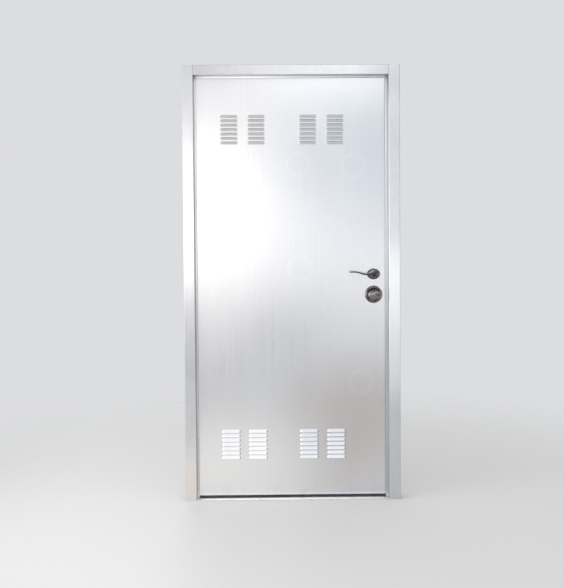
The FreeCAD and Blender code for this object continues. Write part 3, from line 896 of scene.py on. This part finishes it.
@dataclass
class DoorFrame(SubAssembly):
    """Jambs and head of folded sheet, a threshold bar and three stop bars."""

    sheet: float = 0.0016
    lip: float = 0.014
    fold: float = 0.0026
    fold_steps: int = 5
    anchor_radius: float = 0.005
    anchor_inset: float = 0.016
    anchor_spacings: tuple[float, float] = (1.5, 0.5)
    window_width: float = 0.014
    window_length: float = 0.026
    bar_round: float = 0.0008

    def build(self) -> None:
        """Shape and dress the frame."""
        self.jamb("hinge_jamb", ())
        self.jamb("strike_jamb", ("latch_strike", "deadbolt_strike"))
        self.head()
        self.bar("threshold", self.finishes.sill)
        self.bar("hinge_stop", self.finishes.hinge_stop)
        self.bar("strike_stop", self.finishes.strike_stop)
        self.bar("head_stop", self.finishes.head_stop)

    def flanges(self, wall: float, web: float, front: float, back: float) -> list[list[Point2]]:
        """The two folded flanges of a lipped channel, in the plane across its length.

        Args:
            wall: Where the lips lie.
            web: Where the web lies.
            front: The front face.
            back: The back face.

        Returns:
            Each flange from its lip's edge to the start of the web, as (out, depth) points.
        """
        way = math.copysign(1.0, web - wall)
        lip_angle, web_angle = (180.0, 0.0) if way > 0.0 else (0.0, 180.0)
        outlines = []
        for face, inward in ((front, 1.0), (back, -1.0)):
            depth = face + inward * self.fold
            outline = [(wall, face + inward * self.lip)]
            outline += self.bend((wall + way * self.fold, depth), lip_angle, -90.0 * inward)
            outline += self.bend((web - way * self.fold, depth), -90.0 * inward, web_angle)
            outlines.append(outline)
        return outlines

    def bend(self, centre: Point2, start: float, end: float) -> list[Point2]:
        """The outer arc of one fold, by the shorter way round."""
        sweep = (end - start + 180.0) % 360.0 - 180.0
        return arc(centre, self.fold, start, start + sweep, self.fold_steps)

    def jamb(self, name: str, strikes: Sequence[str]) -> None:
        """A full-height channel with its mouth at the wall and holes in its web.

        Args:
            name: The node that it stands for.
            strikes: The strike plates that lie over windows in its web.
        """
        low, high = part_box(name)
        wall, web = (low.x, high.x) if low.x < 0.0 else (high.x, low.x)
        forge = Forge(f"{name}_channel")
        for flange in self.flanges(wall, web, low.y, high.y):
            forge.draw_out(forge.line([(x, y, low.z) for x, y in flange]), UP * (high.z - low.z))
        outlines = [rectangle((low.y + self.fold, low.z), (high.y - self.fold, high.z))]
        middle = (low.z + high.z) / 2
        for spacing in self.anchor_spacings:
            for height in (middle - spacing / 2, middle + spacing / 2):
                outlines.append(hole((low.y + self.anchor_inset, height), self.anchor_radius))
        half_window = Vector((self.window_width, self.window_length)) / 2
        for strike in strikes:
            plate_low, plate_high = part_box(strike)
            centre = ((plate_low + plate_high) / 2).yz
            outlines.append(rectangle(centre - half_window, centre + half_window))
        edges = []
        for outline in outlines:
            edges += forge.line([(web, y, z) for y, z in outline], closed=True)
        towards_opening = RIGHT * math.copysign(1.0, web - wall)
        forge.fill(edges, towards_opening)
        forge.tidy(towards_opening)
        thicken(forge.piece(self.finishes.jamb, "frame", "frame_steel", (name,)), self.sheet)

    def head(self) -> None:
        """The head channel between the jambs, open upwards."""
        low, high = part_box("head")
        front, back = self.flanges(high.z, low.z, low.y, high.y)
        forge = Forge("head_channel")
        edges = forge.line([(low.x, y, z) for z, y in front + back[::-1]])
        forge.draw_out(edges, RIGHT * (high.x - low.x))
        forge.tidy(-UP)
        thicken(forge.piece(self.finishes.head, "frame", "frame_steel", ("head",)), self.sheet)

    def bar(self, name: str, finish: Material) -> None:
        """A flat bar with its edges eased.

        Args:
            name: The node that it stands for.
            finish: Its material.
        """
        forge = Forge(f"{name}_eased")
        forge.block(*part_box(name), self.bar_round)
        forge.piece(finish, "frame", "frame_steel", (name,))


# The leaf


@dataclass
class Leaf(SubAssembly):
    """Two louvred sheets on a frame of channels, with a rubber strip below."""

    sheet: float = 0.0012
    louvre_length: float = 0.088
    mouth_drop: float = 0.0065
    hood_depth: float = 0.0074
    hood_tilt: float = 29.0
    root_fillet: float = 0.0022
    fillet_steps: int = 4
    end_share: float = 0.62
    end_steps: int = 8
    louvre_pitch: float = 0.021
    louvre_rows: int = 7
    column_pitch: float = 0.130
    group_pitch: float = 0.376
    group_offset: float = 0.042
    louvre_margin: float = 0.247
    spindle_hole: float = 0.010
    seal_lip: float = 0.003
    seal_clearance: float = 0.001
    seal_round: float = 0.3

    def build(self) -> None:
        """Shape and dress the leaf."""
        for side in Side:
            self.louvred_sheet(side)
        for name in ("top_rail", "bottom_rail", "hinge_stile", "lock_stile"):
            dress_node(name, self.finishes.edge)
        self.seal()

    @staticmethod
    def middle_y() -> float:
        """The middle of the leaf's thickness."""
        low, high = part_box("lock_stile")
        return (low.y + high.y) / 2

    def hood_profile(self) -> list[Point2]:
        """The hood across its length: reach up from the mouth line and height off the sheet.

        Returns:
            Points from the lip up the flat blade and out along the root fillet.
        """
        tilt = math.radians(self.hood_tilt)
        root = self.hood_depth / math.tan(tilt) + self.root_fillet * math.tan(tilt / 2)
        start = 270.0 - self.hood_tilt
        fillet = arc((root, self.root_fillet), self.root_fillet, start, 270.0, self.fillet_steps)
        return [(0.0, self.hood_depth)] + fillet

    def hood_half(self) -> float:
        """Half the straight length of a hood, between its rounded ends."""
        return self.louvre_length / 2 - self.end_share * self.hood_profile()[1][0]

    def hood(self, forge: Forge, centre: Vector) -> None:
        """Add one hood with its mouth down.

        Args:
            forge: The sheet being shaped.
            centre: The middle of the mouth line, on the sheet's outer face.
        """
        half = RIGHT * self.hood_half()
        right, left = centre + half, centre - half
        edges = forge.line([right + Vector((0.0, -height, reach)) for reach, height in self.hood_profile()])
        far_edges = forge.draw_out(edges, left - right)
        for line, end, turn in ((edges, right, -math.pi / 2), (far_edges, left, math.pi / 2)):
            before = set(forge.form.verts)
            forge.turn(line, end, -AWAY, turn, self.end_steps)
            forge.stretch(forge.new_verts(before), end, (self.end_share, 1.0, 1.0))

    def hood_centres(self, low: Vector, high: Vector) -> Iterator[Vector]:
        """The mouth centres of all the hoods on the front face.

        Args:
            low: The front skin's lowest corner.
            high: Its highest corner.

        Yields:
            Points on the sheet's outer face.
        """
        middle_x = (low.x + high.x) / 2 - self.group_offset
        for group_z in (low.z + self.louvre_margin, high.z - self.louvre_margin):
            for group in (-0.5, 0.5):
                for column in (-0.5, 0.5):
                    x = middle_x + group * self.group_pitch + column * self.column_pitch
                    for row in range(self.louvre_rows):
                        step = row - (self.louvre_rows - 1) / 2
                        z = group_z + step * self.louvre_pitch - self.mouth_drop
                        yield Vector((x, high.y - self.sheet, z))

    def louvred_sheet(self, side: Side) -> None:
        """The whole sheet of one face, pressed into hoods.

        Args:
            side: The face.
        """
        low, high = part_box("front_skin")
        face_y = high.y - self.sheet
        forge = Forge(f"{side.value}_louvred_sheet")
        half_mouth = RIGHT * (self.hood_half() + self.end_share * self.hood_profile()[-1][0])
        for centre in self.hood_centres(low, high):
            self.hood(forge, centre)
            forge.line((centre - half_mouth, centre + half_mouth))
        outlines = [rectangle((low.x, low.z), (high.x, high.z))]
        for rose in ("front_lever_rose", "front_knob_rose"):
            outlines.append(hole(middle_of(rose), self.spindle_hole))
        for outline in outlines:
            forge.line([(x, face_y, z) for x, z in outline], closed=True)
        forge.merge()
        open_edges = [edge for edge in forge.form.edges if len(edge.link_faces) < 2]
        flat = [edge for edge in open_edges if all(abs(vert.co.y - face_y) < ON_FACE for vert in edge.verts)]
        forge.fill(flat, -AWAY)
        forge.tidy(-AWAY)
        forge.mirror_to(side, self.middle_y())
        item = forge.piece(self.finishes.leaf, "leaf", "leaf_steel", (f"{side.value}_skin",))
        thicken(item, self.sheet)

    def seal(self) -> None:
        """The rubber strip under the leaf, with two thin lips that hang almost to the threshold."""
        low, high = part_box("bottom_seal")
        _, sill_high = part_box("threshold")
        forge = Forge("bottom_seal_strip")
        forge.block(low, high, (high.z - low.z) * self.seal_round, segments=3)
        for y in (low.y, high.y - self.seal_lip):
            lip_low = Vector((low.x, y, sill_high.z + self.seal_clearance))
            lip_high = Vector((high.x, y + self.seal_lip, (low.z + high.z) / 2))
            forge.block(lip_low, lip_high, self.seal_lip * self.seal_round)
        forge.piece(self.finishes.rubber, "leaf", "rubber", ("bottom_seal",))


# Fasteners, hinges and the lock edge


@dataclass(frozen=True)
class CrossScrew:
    """A countersunk screw's head with a cross recess."""

    radius: float = 0.0042
    proud: float = 0.0005
    sunk: float = 0.0022
    shank_share: float = 0.6
    rim_share: float = 0.94
    recess_length: float = 0.0023
    recess_width: float = 0.00055
    recess_depth: float = 0.0011
    facets: int = 20

    def add(self, forge: Forge, seat: Vector, outward: Vector) -> None:
        """Add one head.

        Args:
            forge: The set of screws being shaped.
            seat: The middle of the head, on the plate's face.
            outward: The way that it looks.
        """
        outline = [
            (0.0, -self.sunk),
            (self.radius * self.shank_share, -self.sunk),
            (self.radius, 0.0),
            (self.radius * self.rim_share, self.proud),
            (self.radius * self.shank_share, self.proud),
        ]
        made = set(forge.lathe(outline, seat, outward, steps=self.facets, ring=False))
        rim = [edge for edge in forge.form.edges if edge.is_boundary and made.issuperset(edge.verts)]
        faces = bmesh.ops.edgeloop_fill(forge.form, edges=rim)["faces"]
        across = outward.cross(UP)
        top = seat + outward * self.proud
        for distance in (self.recess_width, self.recess_length):
            for way in (UP, across):
                for sign in (-1.0, 1.0):
                    faces = self.split(forge, faces, top + way * (distance * sign), way)
        cross = []
        for face in faces:
            offset = face.calc_center_median() - seat
            near, far = sorted((abs(offset.dot(UP)), abs(offset.dot(across))))
            if far < self.recess_length and near < self.recess_width:
                cross.append(face)
        sunken = bmesh.ops.extrude_face_region(forge.form, geom=cross)["geom"]
        verts = [item for item in sunken if isinstance(item, BMVert)]
        bmesh.ops.translate(forge.form, vec=outward * -self.recess_depth, verts=verts)
        bmesh.ops.delete(forge.form, geom=cross, context="FACES_ONLY")

    @staticmethod
    def split(forge: Forge, faces: Sequence[BMFace], place: Vector, way: Vector) -> list[BMFace]:
        """Cut faces along a plane.

        Args:
            forge: The set of screws being shaped.
            faces: The faces to cut.
            place: A point of the plane.
            way: The plane's normal.

        Returns:
            The faces and their parts.
        """
        geom = set(faces)
        for face in faces:
            geom.update(face.edges, face.verts)
        cut = bmesh.ops.bisect_plane(forge.form, geom=list(geom), plane_co=place, plane_no=way)
        return [item for item in cut["geom"] if isinstance(item, BMFace)]


@dataclass
class Hinge(SubAssembly):
    """One butt hinge: two plates with knuckles, a capped pin and six screws."""

    place: str
    plate_thick: float = 0.0025
    screw_out: float = 0.60
    screw_heights: tuple[float, ...] = (0.16, 0.5, 0.84)
    screw: CrossScrew = CrossScrew()

    def build(self) -> None:
        """Dress the plates and the pin and add the screws."""
        dress_node(f"{self.place}_hinge_pin", self.finishes.plate)
        for body in ("frame", "leaf"):
            dress_node(f"{self.place}_hinge_{body}_plate", self.finishes.plate)
            self.screws(body)

    def screws(self, body: str) -> None:
        """The three screws of one plate.

        Args:
            body: The body that the plate rides on.
        """
        low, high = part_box(f"{self.place}_hinge_{body}_plate")
        axis_x, _ = middle_of(f"{self.place}_hinge_pin")
        outer_x = low.x if body == "frame" else high.x
        x = axis_x + (outer_x - axis_x) * self.screw_out
        forge = Forge(f"{self.place}_hinge_{body}_screws")
        for share in self.screw_heights:
            seat = Vector((x, low.y + self.plate_thick, low.z + (high.z - low.z) * share))
            self.screw.add(forge, seat, AWAY)
        forge.tidy()
        forge.piece(self.finishes.screw, body, "hinge_steel")


@dataclass
class LockEdge(SubAssembly):
    """Face plates and bolts in the lock edge, and the strikes opposite."""

    screw: CrossScrew = CrossScrew(radius=0.0032, recess_length=0.0018, recess_width=0.00045)
    screw_share: float = 0.86

    def build(self) -> None:
        """Dress the lock edge and add the plates' screws."""
        for lock, bolt in (("latch", "latch_bolt"), ("deadbolt", "deadbolt")):
            dress_node(f"{lock}_face_plate", self.finishes.bronze)
            dress_node(bolt, self.finishes.plate)
            dress_node(f"{lock}_strike", self.finishes.plate)
            self.plate_screws(f"{lock}_face_plate", RIGHT).piece(self.finishes.lever, "leaf", "bronze")
            self.plate_screws(f"{lock}_strike", -RIGHT).piece(self.finishes.screw, "frame", "hinge_steel")

    def plate_screws(self, plate: str, outward: Vector) -> Forge:
        """Two screws, above and below a plate's window.

        Args:
            plate: The plate's node.
            outward: The way that the plate looks.

        Returns:
            The screws' form.
        """
        low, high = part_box(plate)
        centre = (low + high) / 2
        forge = Forge(f"{plate}_screws")
        for sign in (-1.0, 1.0):
            z = centre.z + sign * self.screw_share * (high.z - low.z) / 2
            self.screw.add(forge, Vector((high.x if outward.x > 0.0 else low.x, centre.y, z)), outward)
        forge.tidy()
        return forge


# Handles


@dataclass
class HandleSet(SubAssembly):
    """A rose and a handle on each face, on one spindle."""

    kind: ClassVar[str]
    smooth: ClassVar[float] = 40.0

    def build(self) -> None:
        """Shape both sides and dress the spindle."""
        for side in Side:
            self.rose(side)
            self.handle(side)
        dress_node(f"{self.kind}_spindle", self.finishes.plate)

    @abstractmethod
    def rose(self, side: Side) -> None:
        """Shape one side's rose."""

    @abstractmethod
    def handle(self, side: Side) -> None:
        """Shape one side's handle."""

    def seat(self) -> Vector:
        """The spindle's axis at the leaf's front face."""
        low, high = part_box(f"front_{self.kind}_rose")
        return Vector(((low.x + high.x) / 2, high.y, (low.z + high.z) / 2))

    def fit(self, forge: Forge, side: Side, finish: Material, body: str, node: str) -> Object:
        """Make a piece of one side from a form that was shaped for the front.

        Args:
            forge: The form.
            side: The face that it belongs on.
            finish: Its material.
            body: The body that it rides on.
            node: The node that it stands for, without the side's word.

        Returns:
            The object.
        """
        forge.tidy()
        forge.mirror_to(side, Leaf.middle_y())
        return forge.piece(finish, body, "bronze", (f"{side.value}_{node}",), smooth=self.smooth)


@dataclass
class LeverSet(HandleSet):
    """An oval rose and a cast wave lever on each face, on one spindle."""

    kind: ClassVar[str] = "lever"

    rose_bore: float = 0.0081
    rose_steps: int = 72
    rim_round: float = 0.0016
    rim_height: float = 0.0020
    quirk_inset: float = 0.0034
    quirk_height: float = 0.0040
    dome: tuple[Point2, ...] = ((0.0085, 0.0056), (0.0125, 0.0066), (0.0150, 0.0070))
    collar_round: float = 0.0012
    collar_inset: float = 0.0014
    collar_share: float = 1.6
    neck_radius: float = 0.008
    neck_overlap: float = 0.004
    hub_radius: float = 0.0095
    hub_depth: float = 0.016
    hub_round: float = 0.0045
    blade_thick: float = 0.0064
    blade_depth: float = 0.015
    root_thick: float = 1.35
    thick_loss: float = 0.55
    depth_loss: float = 0.30
    root_round: float = 0.07
    tip_round: float = 0.05
    least_round: float = 0.12
    trough_radius: float = 0.070
    trough_offset: float = 0.037
    trough_rise: float = 0.0005
    crest_radius: float = 0.106
    crest_offset: float = 0.100
    reach: float = 0.1215
    stations: int = 40
    blade_facets: int = 24
    casting_grain: float = 0.0006

    def rose(self, side: Side) -> None:
        """The oval rose: a rolled rim and a low dome up to a collar round the neck.

        Args:
            side: The face that it lies on.
        """
        low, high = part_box("front_lever_rose")
        edge, thick = (high.z - low.z) / 2, high.y - low.y
        collar = (self.rose_bore + self.collar_inset, thick - self.collar_round)
        outline = [(self.rose_bore, 0.0), (edge, 0.0)]
        outline += arc((edge - self.rim_round, self.rim_height), self.rim_round, 0.0, 80.0, 5)
        outline += arc((edge - self.quirk_inset, self.quirk_height), self.rim_round, -110.0, -180.0, 4)
        outline += [(edge - inset, height) for inset, height in self.dome]
        outline += arc(collar, self.collar_round, 20.0, 160.0, 5)
        forge = Forge(f"{side.value}_lever_rose_dome")
        seat = self.seat()
        forge.lathe(outline, seat, -AWAY, steps=self.rose_steps)
        collar_edge = self.rose_bore * self.collar_share
        outer = [vert for vert in forge.form.verts if (vert.co - seat).xz.length > collar_edge]
        forge.stretch(outer, seat, ((high.x - low.x) / (2 * edge), 1.0, 1.0))
        self.fit(forge, side, self.finishes.bronze, "leaf", "lever_rose")

    def blade_line(self) -> Iterator[tuple[Point2, float]]:
        """The blade's middle line from the spindle to the tip.

        Yields:
            Each station's place from the spindle, towards the tip and up, and its slope in radians.
        """
        span = self.trough_radius + self.crest_radius
        swing = math.asin((self.crest_offset - self.trough_offset) / span)
        start = -math.asin(self.trough_offset / self.trough_radius)
        finish = math.asin((self.reach - self.blade_thick / 2 - self.crest_offset) / self.crest_radius)
        trough = (self.trough_offset, self.trough_rise + self.trough_radius)
        crest = (trough[0] + span * math.sin(swing), trough[1] - span * math.cos(swing))
        trough_length = self.trough_radius * (swing - start)
        crest_length = self.crest_radius * (swing + finish)
        for step in range(self.stations + 1):
            run = (trough_length + crest_length) * step / self.stations
            if run <= trough_length:
                centre, radius, slope = trough, self.trough_radius, start + run / self.trough_radius
            else:
                slope = swing - (run - trough_length) / self.crest_radius
                centre, radius = crest, -self.crest_radius
            yield (centre[0] + radius * math.sin(slope), centre[1] - radius * math.cos(slope)), slope

    def handle(self, side: Side) -> None:
        """Neck, hub and tapering blade, run together as one casting.

        Args:
            side: The face that it stands on.
        """
        low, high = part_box("front_lever")
        seat = self.seat()
        reach = high.y - low.y
        inner = reach - self.hub_depth
        neck_end = inner + self.neck_overlap
        neck = [(0.0, 0.0), (self.neck_radius, 0.0), (self.neck_radius, neck_end), (0.0, neck_end)]
        corner = self.hub_radius - self.hub_round
        hub = [(0.0, inner)]
        hub += arc((corner, inner + self.hub_round), self.hub_round, -90.0, 0.0, 5)
        hub += arc((corner, reach - self.hub_round), self.hub_round, 0.0, 90.0, 5)
        hub += [(0.0, reach)]
        forge = Forge(f"{side.value}_wave_lever")
        for outline in (neck, hub):
            forge.lathe(outline, seat, -AWAY, ring=False)
        self.blade(forge, seat - AWAY * (reach - self.hub_depth / 2))
        item = self.fit(forge, side, self.finishes.lever, "lever", "lever")
        modify(item, "casting", "REMESH", mode="VOXEL", voxel_size=self.casting_grain, use_smooth_shade=True)
        modify(item, "fairing", "SMOOTH", factor=0.5, iterations=6)

    def blade(self, forge: Forge, middle: Vector) -> None:
        """Loft the blade through its stations.

        Args:
            forge: The lever being shaped.
            middle: The blade's root, at the spindle's axis and the middle of its depth.
        """
        rings = []
        for index, ((out, up), slope) in enumerate(self.blade_line()):
            share = index / self.stations
            thick = self.blade_thick * (self.root_thick - self.thick_loss * share)
            depth = self.blade_depth * (1.0 - self.depth_loss * share**2)
            near_end = min(1.0, (1.0 - share) / self.tip_round, share / self.root_round)
            rounding = max(self.least_round, math.sqrt(1.0 - (1.0 - near_end) ** 2))
            place = Matrix.Translation(middle + Vector((-out, 0.0, up)))
            place @= Matrix.Rotation(slope, 4, "Y") @ Matrix.Rotation(math.pi / 2, 4, "Y")
            place @= Matrix.Diagonal((thick / 2 * rounding, depth / 2 * rounding, 1.0, 1.0))
            ring = bmesh.ops.create_circle(forge.form, segments=self.blade_facets, radius=1.0, matrix=place)
            rings.append(list({edge for vert in ring["verts"] for edge in vert.link_edges}))
        for ring, following in zip(rings, rings[1:]):
            bmesh.ops.bridge_loops(forge.form, edges=ring + following)
        for ring in (rings[0], rings[-1]):
            bmesh.ops.edgeloop_fill(forge.form, edges=ring)


@dataclass
class KnobSet(HandleSet):
    """A ridged round rose and an oval knob on each face, on one spindle."""

    kind: ClassVar[str] = "knob"

    neck_radius: float = 0.013
    neck_clearance: float = 0.0001
    neck_start: float = 0.0005
    neck_buried: float = 0.006
    flare_radius: float = 0.008
    flare_inset: float = 0.006
    flare_drop: float = 0.020
    grip_back: float = 0.020
    grip_steps: int = 32
    turn_steps: int = 80
    rim_round: float = 0.0012
    rim_height: float = 0.0022
    crest_inset: float = 0.0095
    crest_drop: float = 0.0040
    crest_round: float = 0.0016
    dish_floor: float = 0.0022
    dish_inset: float = 0.0036
    dish_round: float = 0.0020
    lip_width: float = 0.0040
    lip_rise: float = 0.0006

    def rose(self, side: Side) -> None:
        """The round rose: a rim, a raised ring and a dish round the neck.

        Args:
            side: The face that it lies on.
        """
        low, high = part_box("front_knob_rose")
        edge, thick = (high.x - low.x) / 2, high.y - low.y
        bore = self.neck_radius + self.neck_clearance
        crest, floor = edge - self.crest_inset, self.dish_floor
        outline = [(bore, 0.0), (edge, 0.0)]
        outline += arc((edge - self.rim_round, self.rim_height), self.rim_round, 0.0, 60.0, 4)
        outline += arc((crest, thick - self.crest_drop), self.crest_round, 68.0, 180.0, 6)
        outline += arc((crest - self.dish_inset, floor + self.dish_round), self.dish_round, 0.0, -90.0, 4)
        outline += [(bore + self.lip_width, floor), (bore, floor + self.lip_rise)]
        forge = Forge(f"{side.value}_knob_rose_ringed")
        forge.lathe(outline, self.seat(), -AWAY, steps=self.turn_steps)
        self.fit(forge, side, self.finishes.knob_rose, "leaf", "knob_rose")

    def handle(self, side: Side) -> None:
        """The oval grip on its neck.

        Args:
            side: The face that it stands on.
        """
        low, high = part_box("front_knob")
        seat = self.seat()
        half_width, reach = (high.x - low.x) / 2, high.y - low.y
        belly = (self.grip_back + reach) / 2
        half_depth = reach - belly
        grip = []
        for step in range(self.grip_steps + 1):
            turn = -math.pi / 2 + math.pi * step / self.grip_steps
            grip.append((half_width * math.cos(turn), belly + half_depth * math.sin(turn)))
        grip[0], grip[-1] = (0.0, grip[0][1]), (0.0, grip[-1][1])
        forge = Forge(f"{side.value}_oval_knob")
        made = forge.lathe(grip, seat, -AWAY, steps=self.turn_steps, ring=False)
        forge.stretch(made, seat, (1.0, 1.0, (high.z - low.z) / (high.x - low.x)))
        flare = (self.neck_radius + self.flare_inset, belly - self.flare_drop)
        neck_end = belly - self.neck_buried
        neck = [(0.0, self.neck_start), (self.neck_radius, self.neck_start)]
        neck += arc(flare, self.flare_radius, 180.0, 150.0, 4)
        neck += [(self.neck_radius, neck_end), (0.0, neck_end)]
        forge.lathe(neck, seat, -AWAY, ring=False)
        self.fit(forge, side, self.finishes.grip, "knob", "knob")


# Studio


@dataclass
class SoftBox:
    """One soft rectangular light that looks one way."""

    name: str
    place: Vector
    way: Vector
    width: float
    height: float
    radiance: float
    tint: Colour = (1.0, 1.0, 1.0)

    def build(self) -> None:
        """Hang the light."""
        lamp = bpy.data.lights.new(self.name, "AREA")
        lamp.shape = "RECTANGLE"
        lamp.size, lamp.size_y = self.width, self.height
        lamp.energy = self.radiance * math.pi * self.width * self.height
        lamp.color = self.tint
        item = bpy.data.objects.new(self.name, lamp)
        item.location = self.place
        item.rotation_euler = self.way.to_track_quat("-Z", "Y").to_euler()
        item.visible_camera = False
        bpy.context.scene.collection.objects.link(item)


@dataclass
class Studio:
    """The floor, the soft lights, the pale surround and the camera."""

    floor_radius: float = 6.0
    floor_facets: int = 96
    behind_door: Colour = (0.72, 0.725, 0.735)
    behind_camera: Colour = (0.48, 0.49, 0.505)
    overhead: Colour = (1.30, 1.31, 1.33)
    zenith: Colour = (0.66, 0.65, 0.63)
    overhead_band: Band = (0.28, 0.48)
    zenith_band: Band = (0.72, 0.88)
    door_band: Band = (-0.08, 0.08)
    camera_place: tuple[float, float, float] = (-0.088, -4.40, 1.340)
    camera_yaw: float = 0.741
    camera_pitch: float = 1.8
    camera_roll: float = -0.383
    lens: float = 56.26
    shift: Point2 = (-0.0055, -0.0762)

    def build(self) -> None:
        """Set the stage."""
        self.floor()
        self.world()
        self.camera()
        for light in (
            SoftBox("left_window", Vector((-1.2, -4.6, 1.45)), AWAY, 1.6, 1.4, 3.1, (1.0, 0.95, 0.92)),
            SoftBox("low_strip", Vector((0.8, -4.6, 1.10)), AWAY, 2.4, 0.7, 1.10, (0.96, 0.97, 1.0)),
            SoftBox("right_box", Vector((1.25, -4.6, 0.85)), AWAY, 0.8, 0.6, 4.2, (0.95, 0.97, 1.0)),
            SoftBox("high_strip", Vector((0.55, -4.6, 3.20)), AWAY, 1.6, 0.7, 3.9, (0.99, 0.99, 1.0)),
            SoftBox("left_wall", Vector((-3.0, -2.3, 1.60)), RIGHT, 3.4, 2.7, 1.9),
            SoftBox("left_low", Vector((-2.2, -1.0, 0.60)), RIGHT, 1.4, 0.9, 1.2, (1.0, 0.90, 0.80)),
            SoftBox("back_wall", Vector((-1.2, 4.2, 2.40)), -AWAY, 2.4, 1.8, 1.7),
        ):
            light.build()
        bpy.context.scene.view_settings.view_transform = "Standard"

    def floor(self) -> None:
        """The plain floor under the door."""
        form = bmesh.new()
        bmesh.ops.create_circle(form, cap_ends=True, segments=self.floor_facets, radius=self.floor_radius)
        mesh = bpy.data.meshes.new("studio_floor")
        form.to_mesh(mesh)
        form.free()
        mesh.materials.append(PaleFloor("pale_floor").material())
        item = bpy.data.objects.new("studio_floor", mesh)
        bpy.context.scene.collection.objects.link(item)

    def world(self) -> None:
        """A pale surround, darker behind the camera and lighter overhead."""
        world = bpy.data.worlds.new("studio_surround")
        graph = Graph(world)
        _, ahead, up = graph.axes(graph.add("ShaderNodeTexCoord").outputs["Generated"])
        rear = graph.mix(graph.rise(up, self.overhead_band), self.behind_camera, self.overhead)
        rear = graph.mix(graph.rise(up, self.zenith_band), rear, self.zenith)
        colour = graph.mix(graph.rise(ahead, self.door_band), rear, self.behind_door)
        shader = graph.add("ShaderNodeBackground", {}, {"Color": colour, "Strength": 1.0})
        graph.add("ShaderNodeOutputWorld", {}, {"Surface": shader.outputs[0]})
        bpy.context.scene.world = world

    def camera(self) -> None:
        """The camera, at the place and angle of the photograph's."""
        lens = bpy.data.cameras.new("door_camera")
        lens.lens = self.lens
        lens.shift_x, lens.shift_y = self.shift
        item = bpy.data.objects.new("door_camera", lens)
        pitch, yaw = math.radians(90.0 - self.camera_pitch), math.radians(-self.camera_yaw)
        look = Euler((pitch, 0.0, yaw)).to_matrix() @ Matrix.Rotation(math.radians(self.camera_roll), 3, "Z")
        item.matrix_world = Matrix.Translation(self.camera_place) @ look.to_4x4()
        bpy.context.scene.collection.objects.link(item)
        bpy.context.scene.camera = item


def main() -> None:
    """Build and dress the door, then the studio."""
    logging.basicConfig(level=logging.INFO, format="%(message)s")
    finishes = Finishes()
    DoorFrame(finishes).build()
    Leaf(finishes).build()
    for place in ("upper", "middle", "lower"):
        Hinge(finishes, place).build()
    LockEdge(finishes).build()
    LeverSet(finishes).build()
    KnobSet(finishes).build()
    Studio().build()


if __name__ == "__main__":
    main()
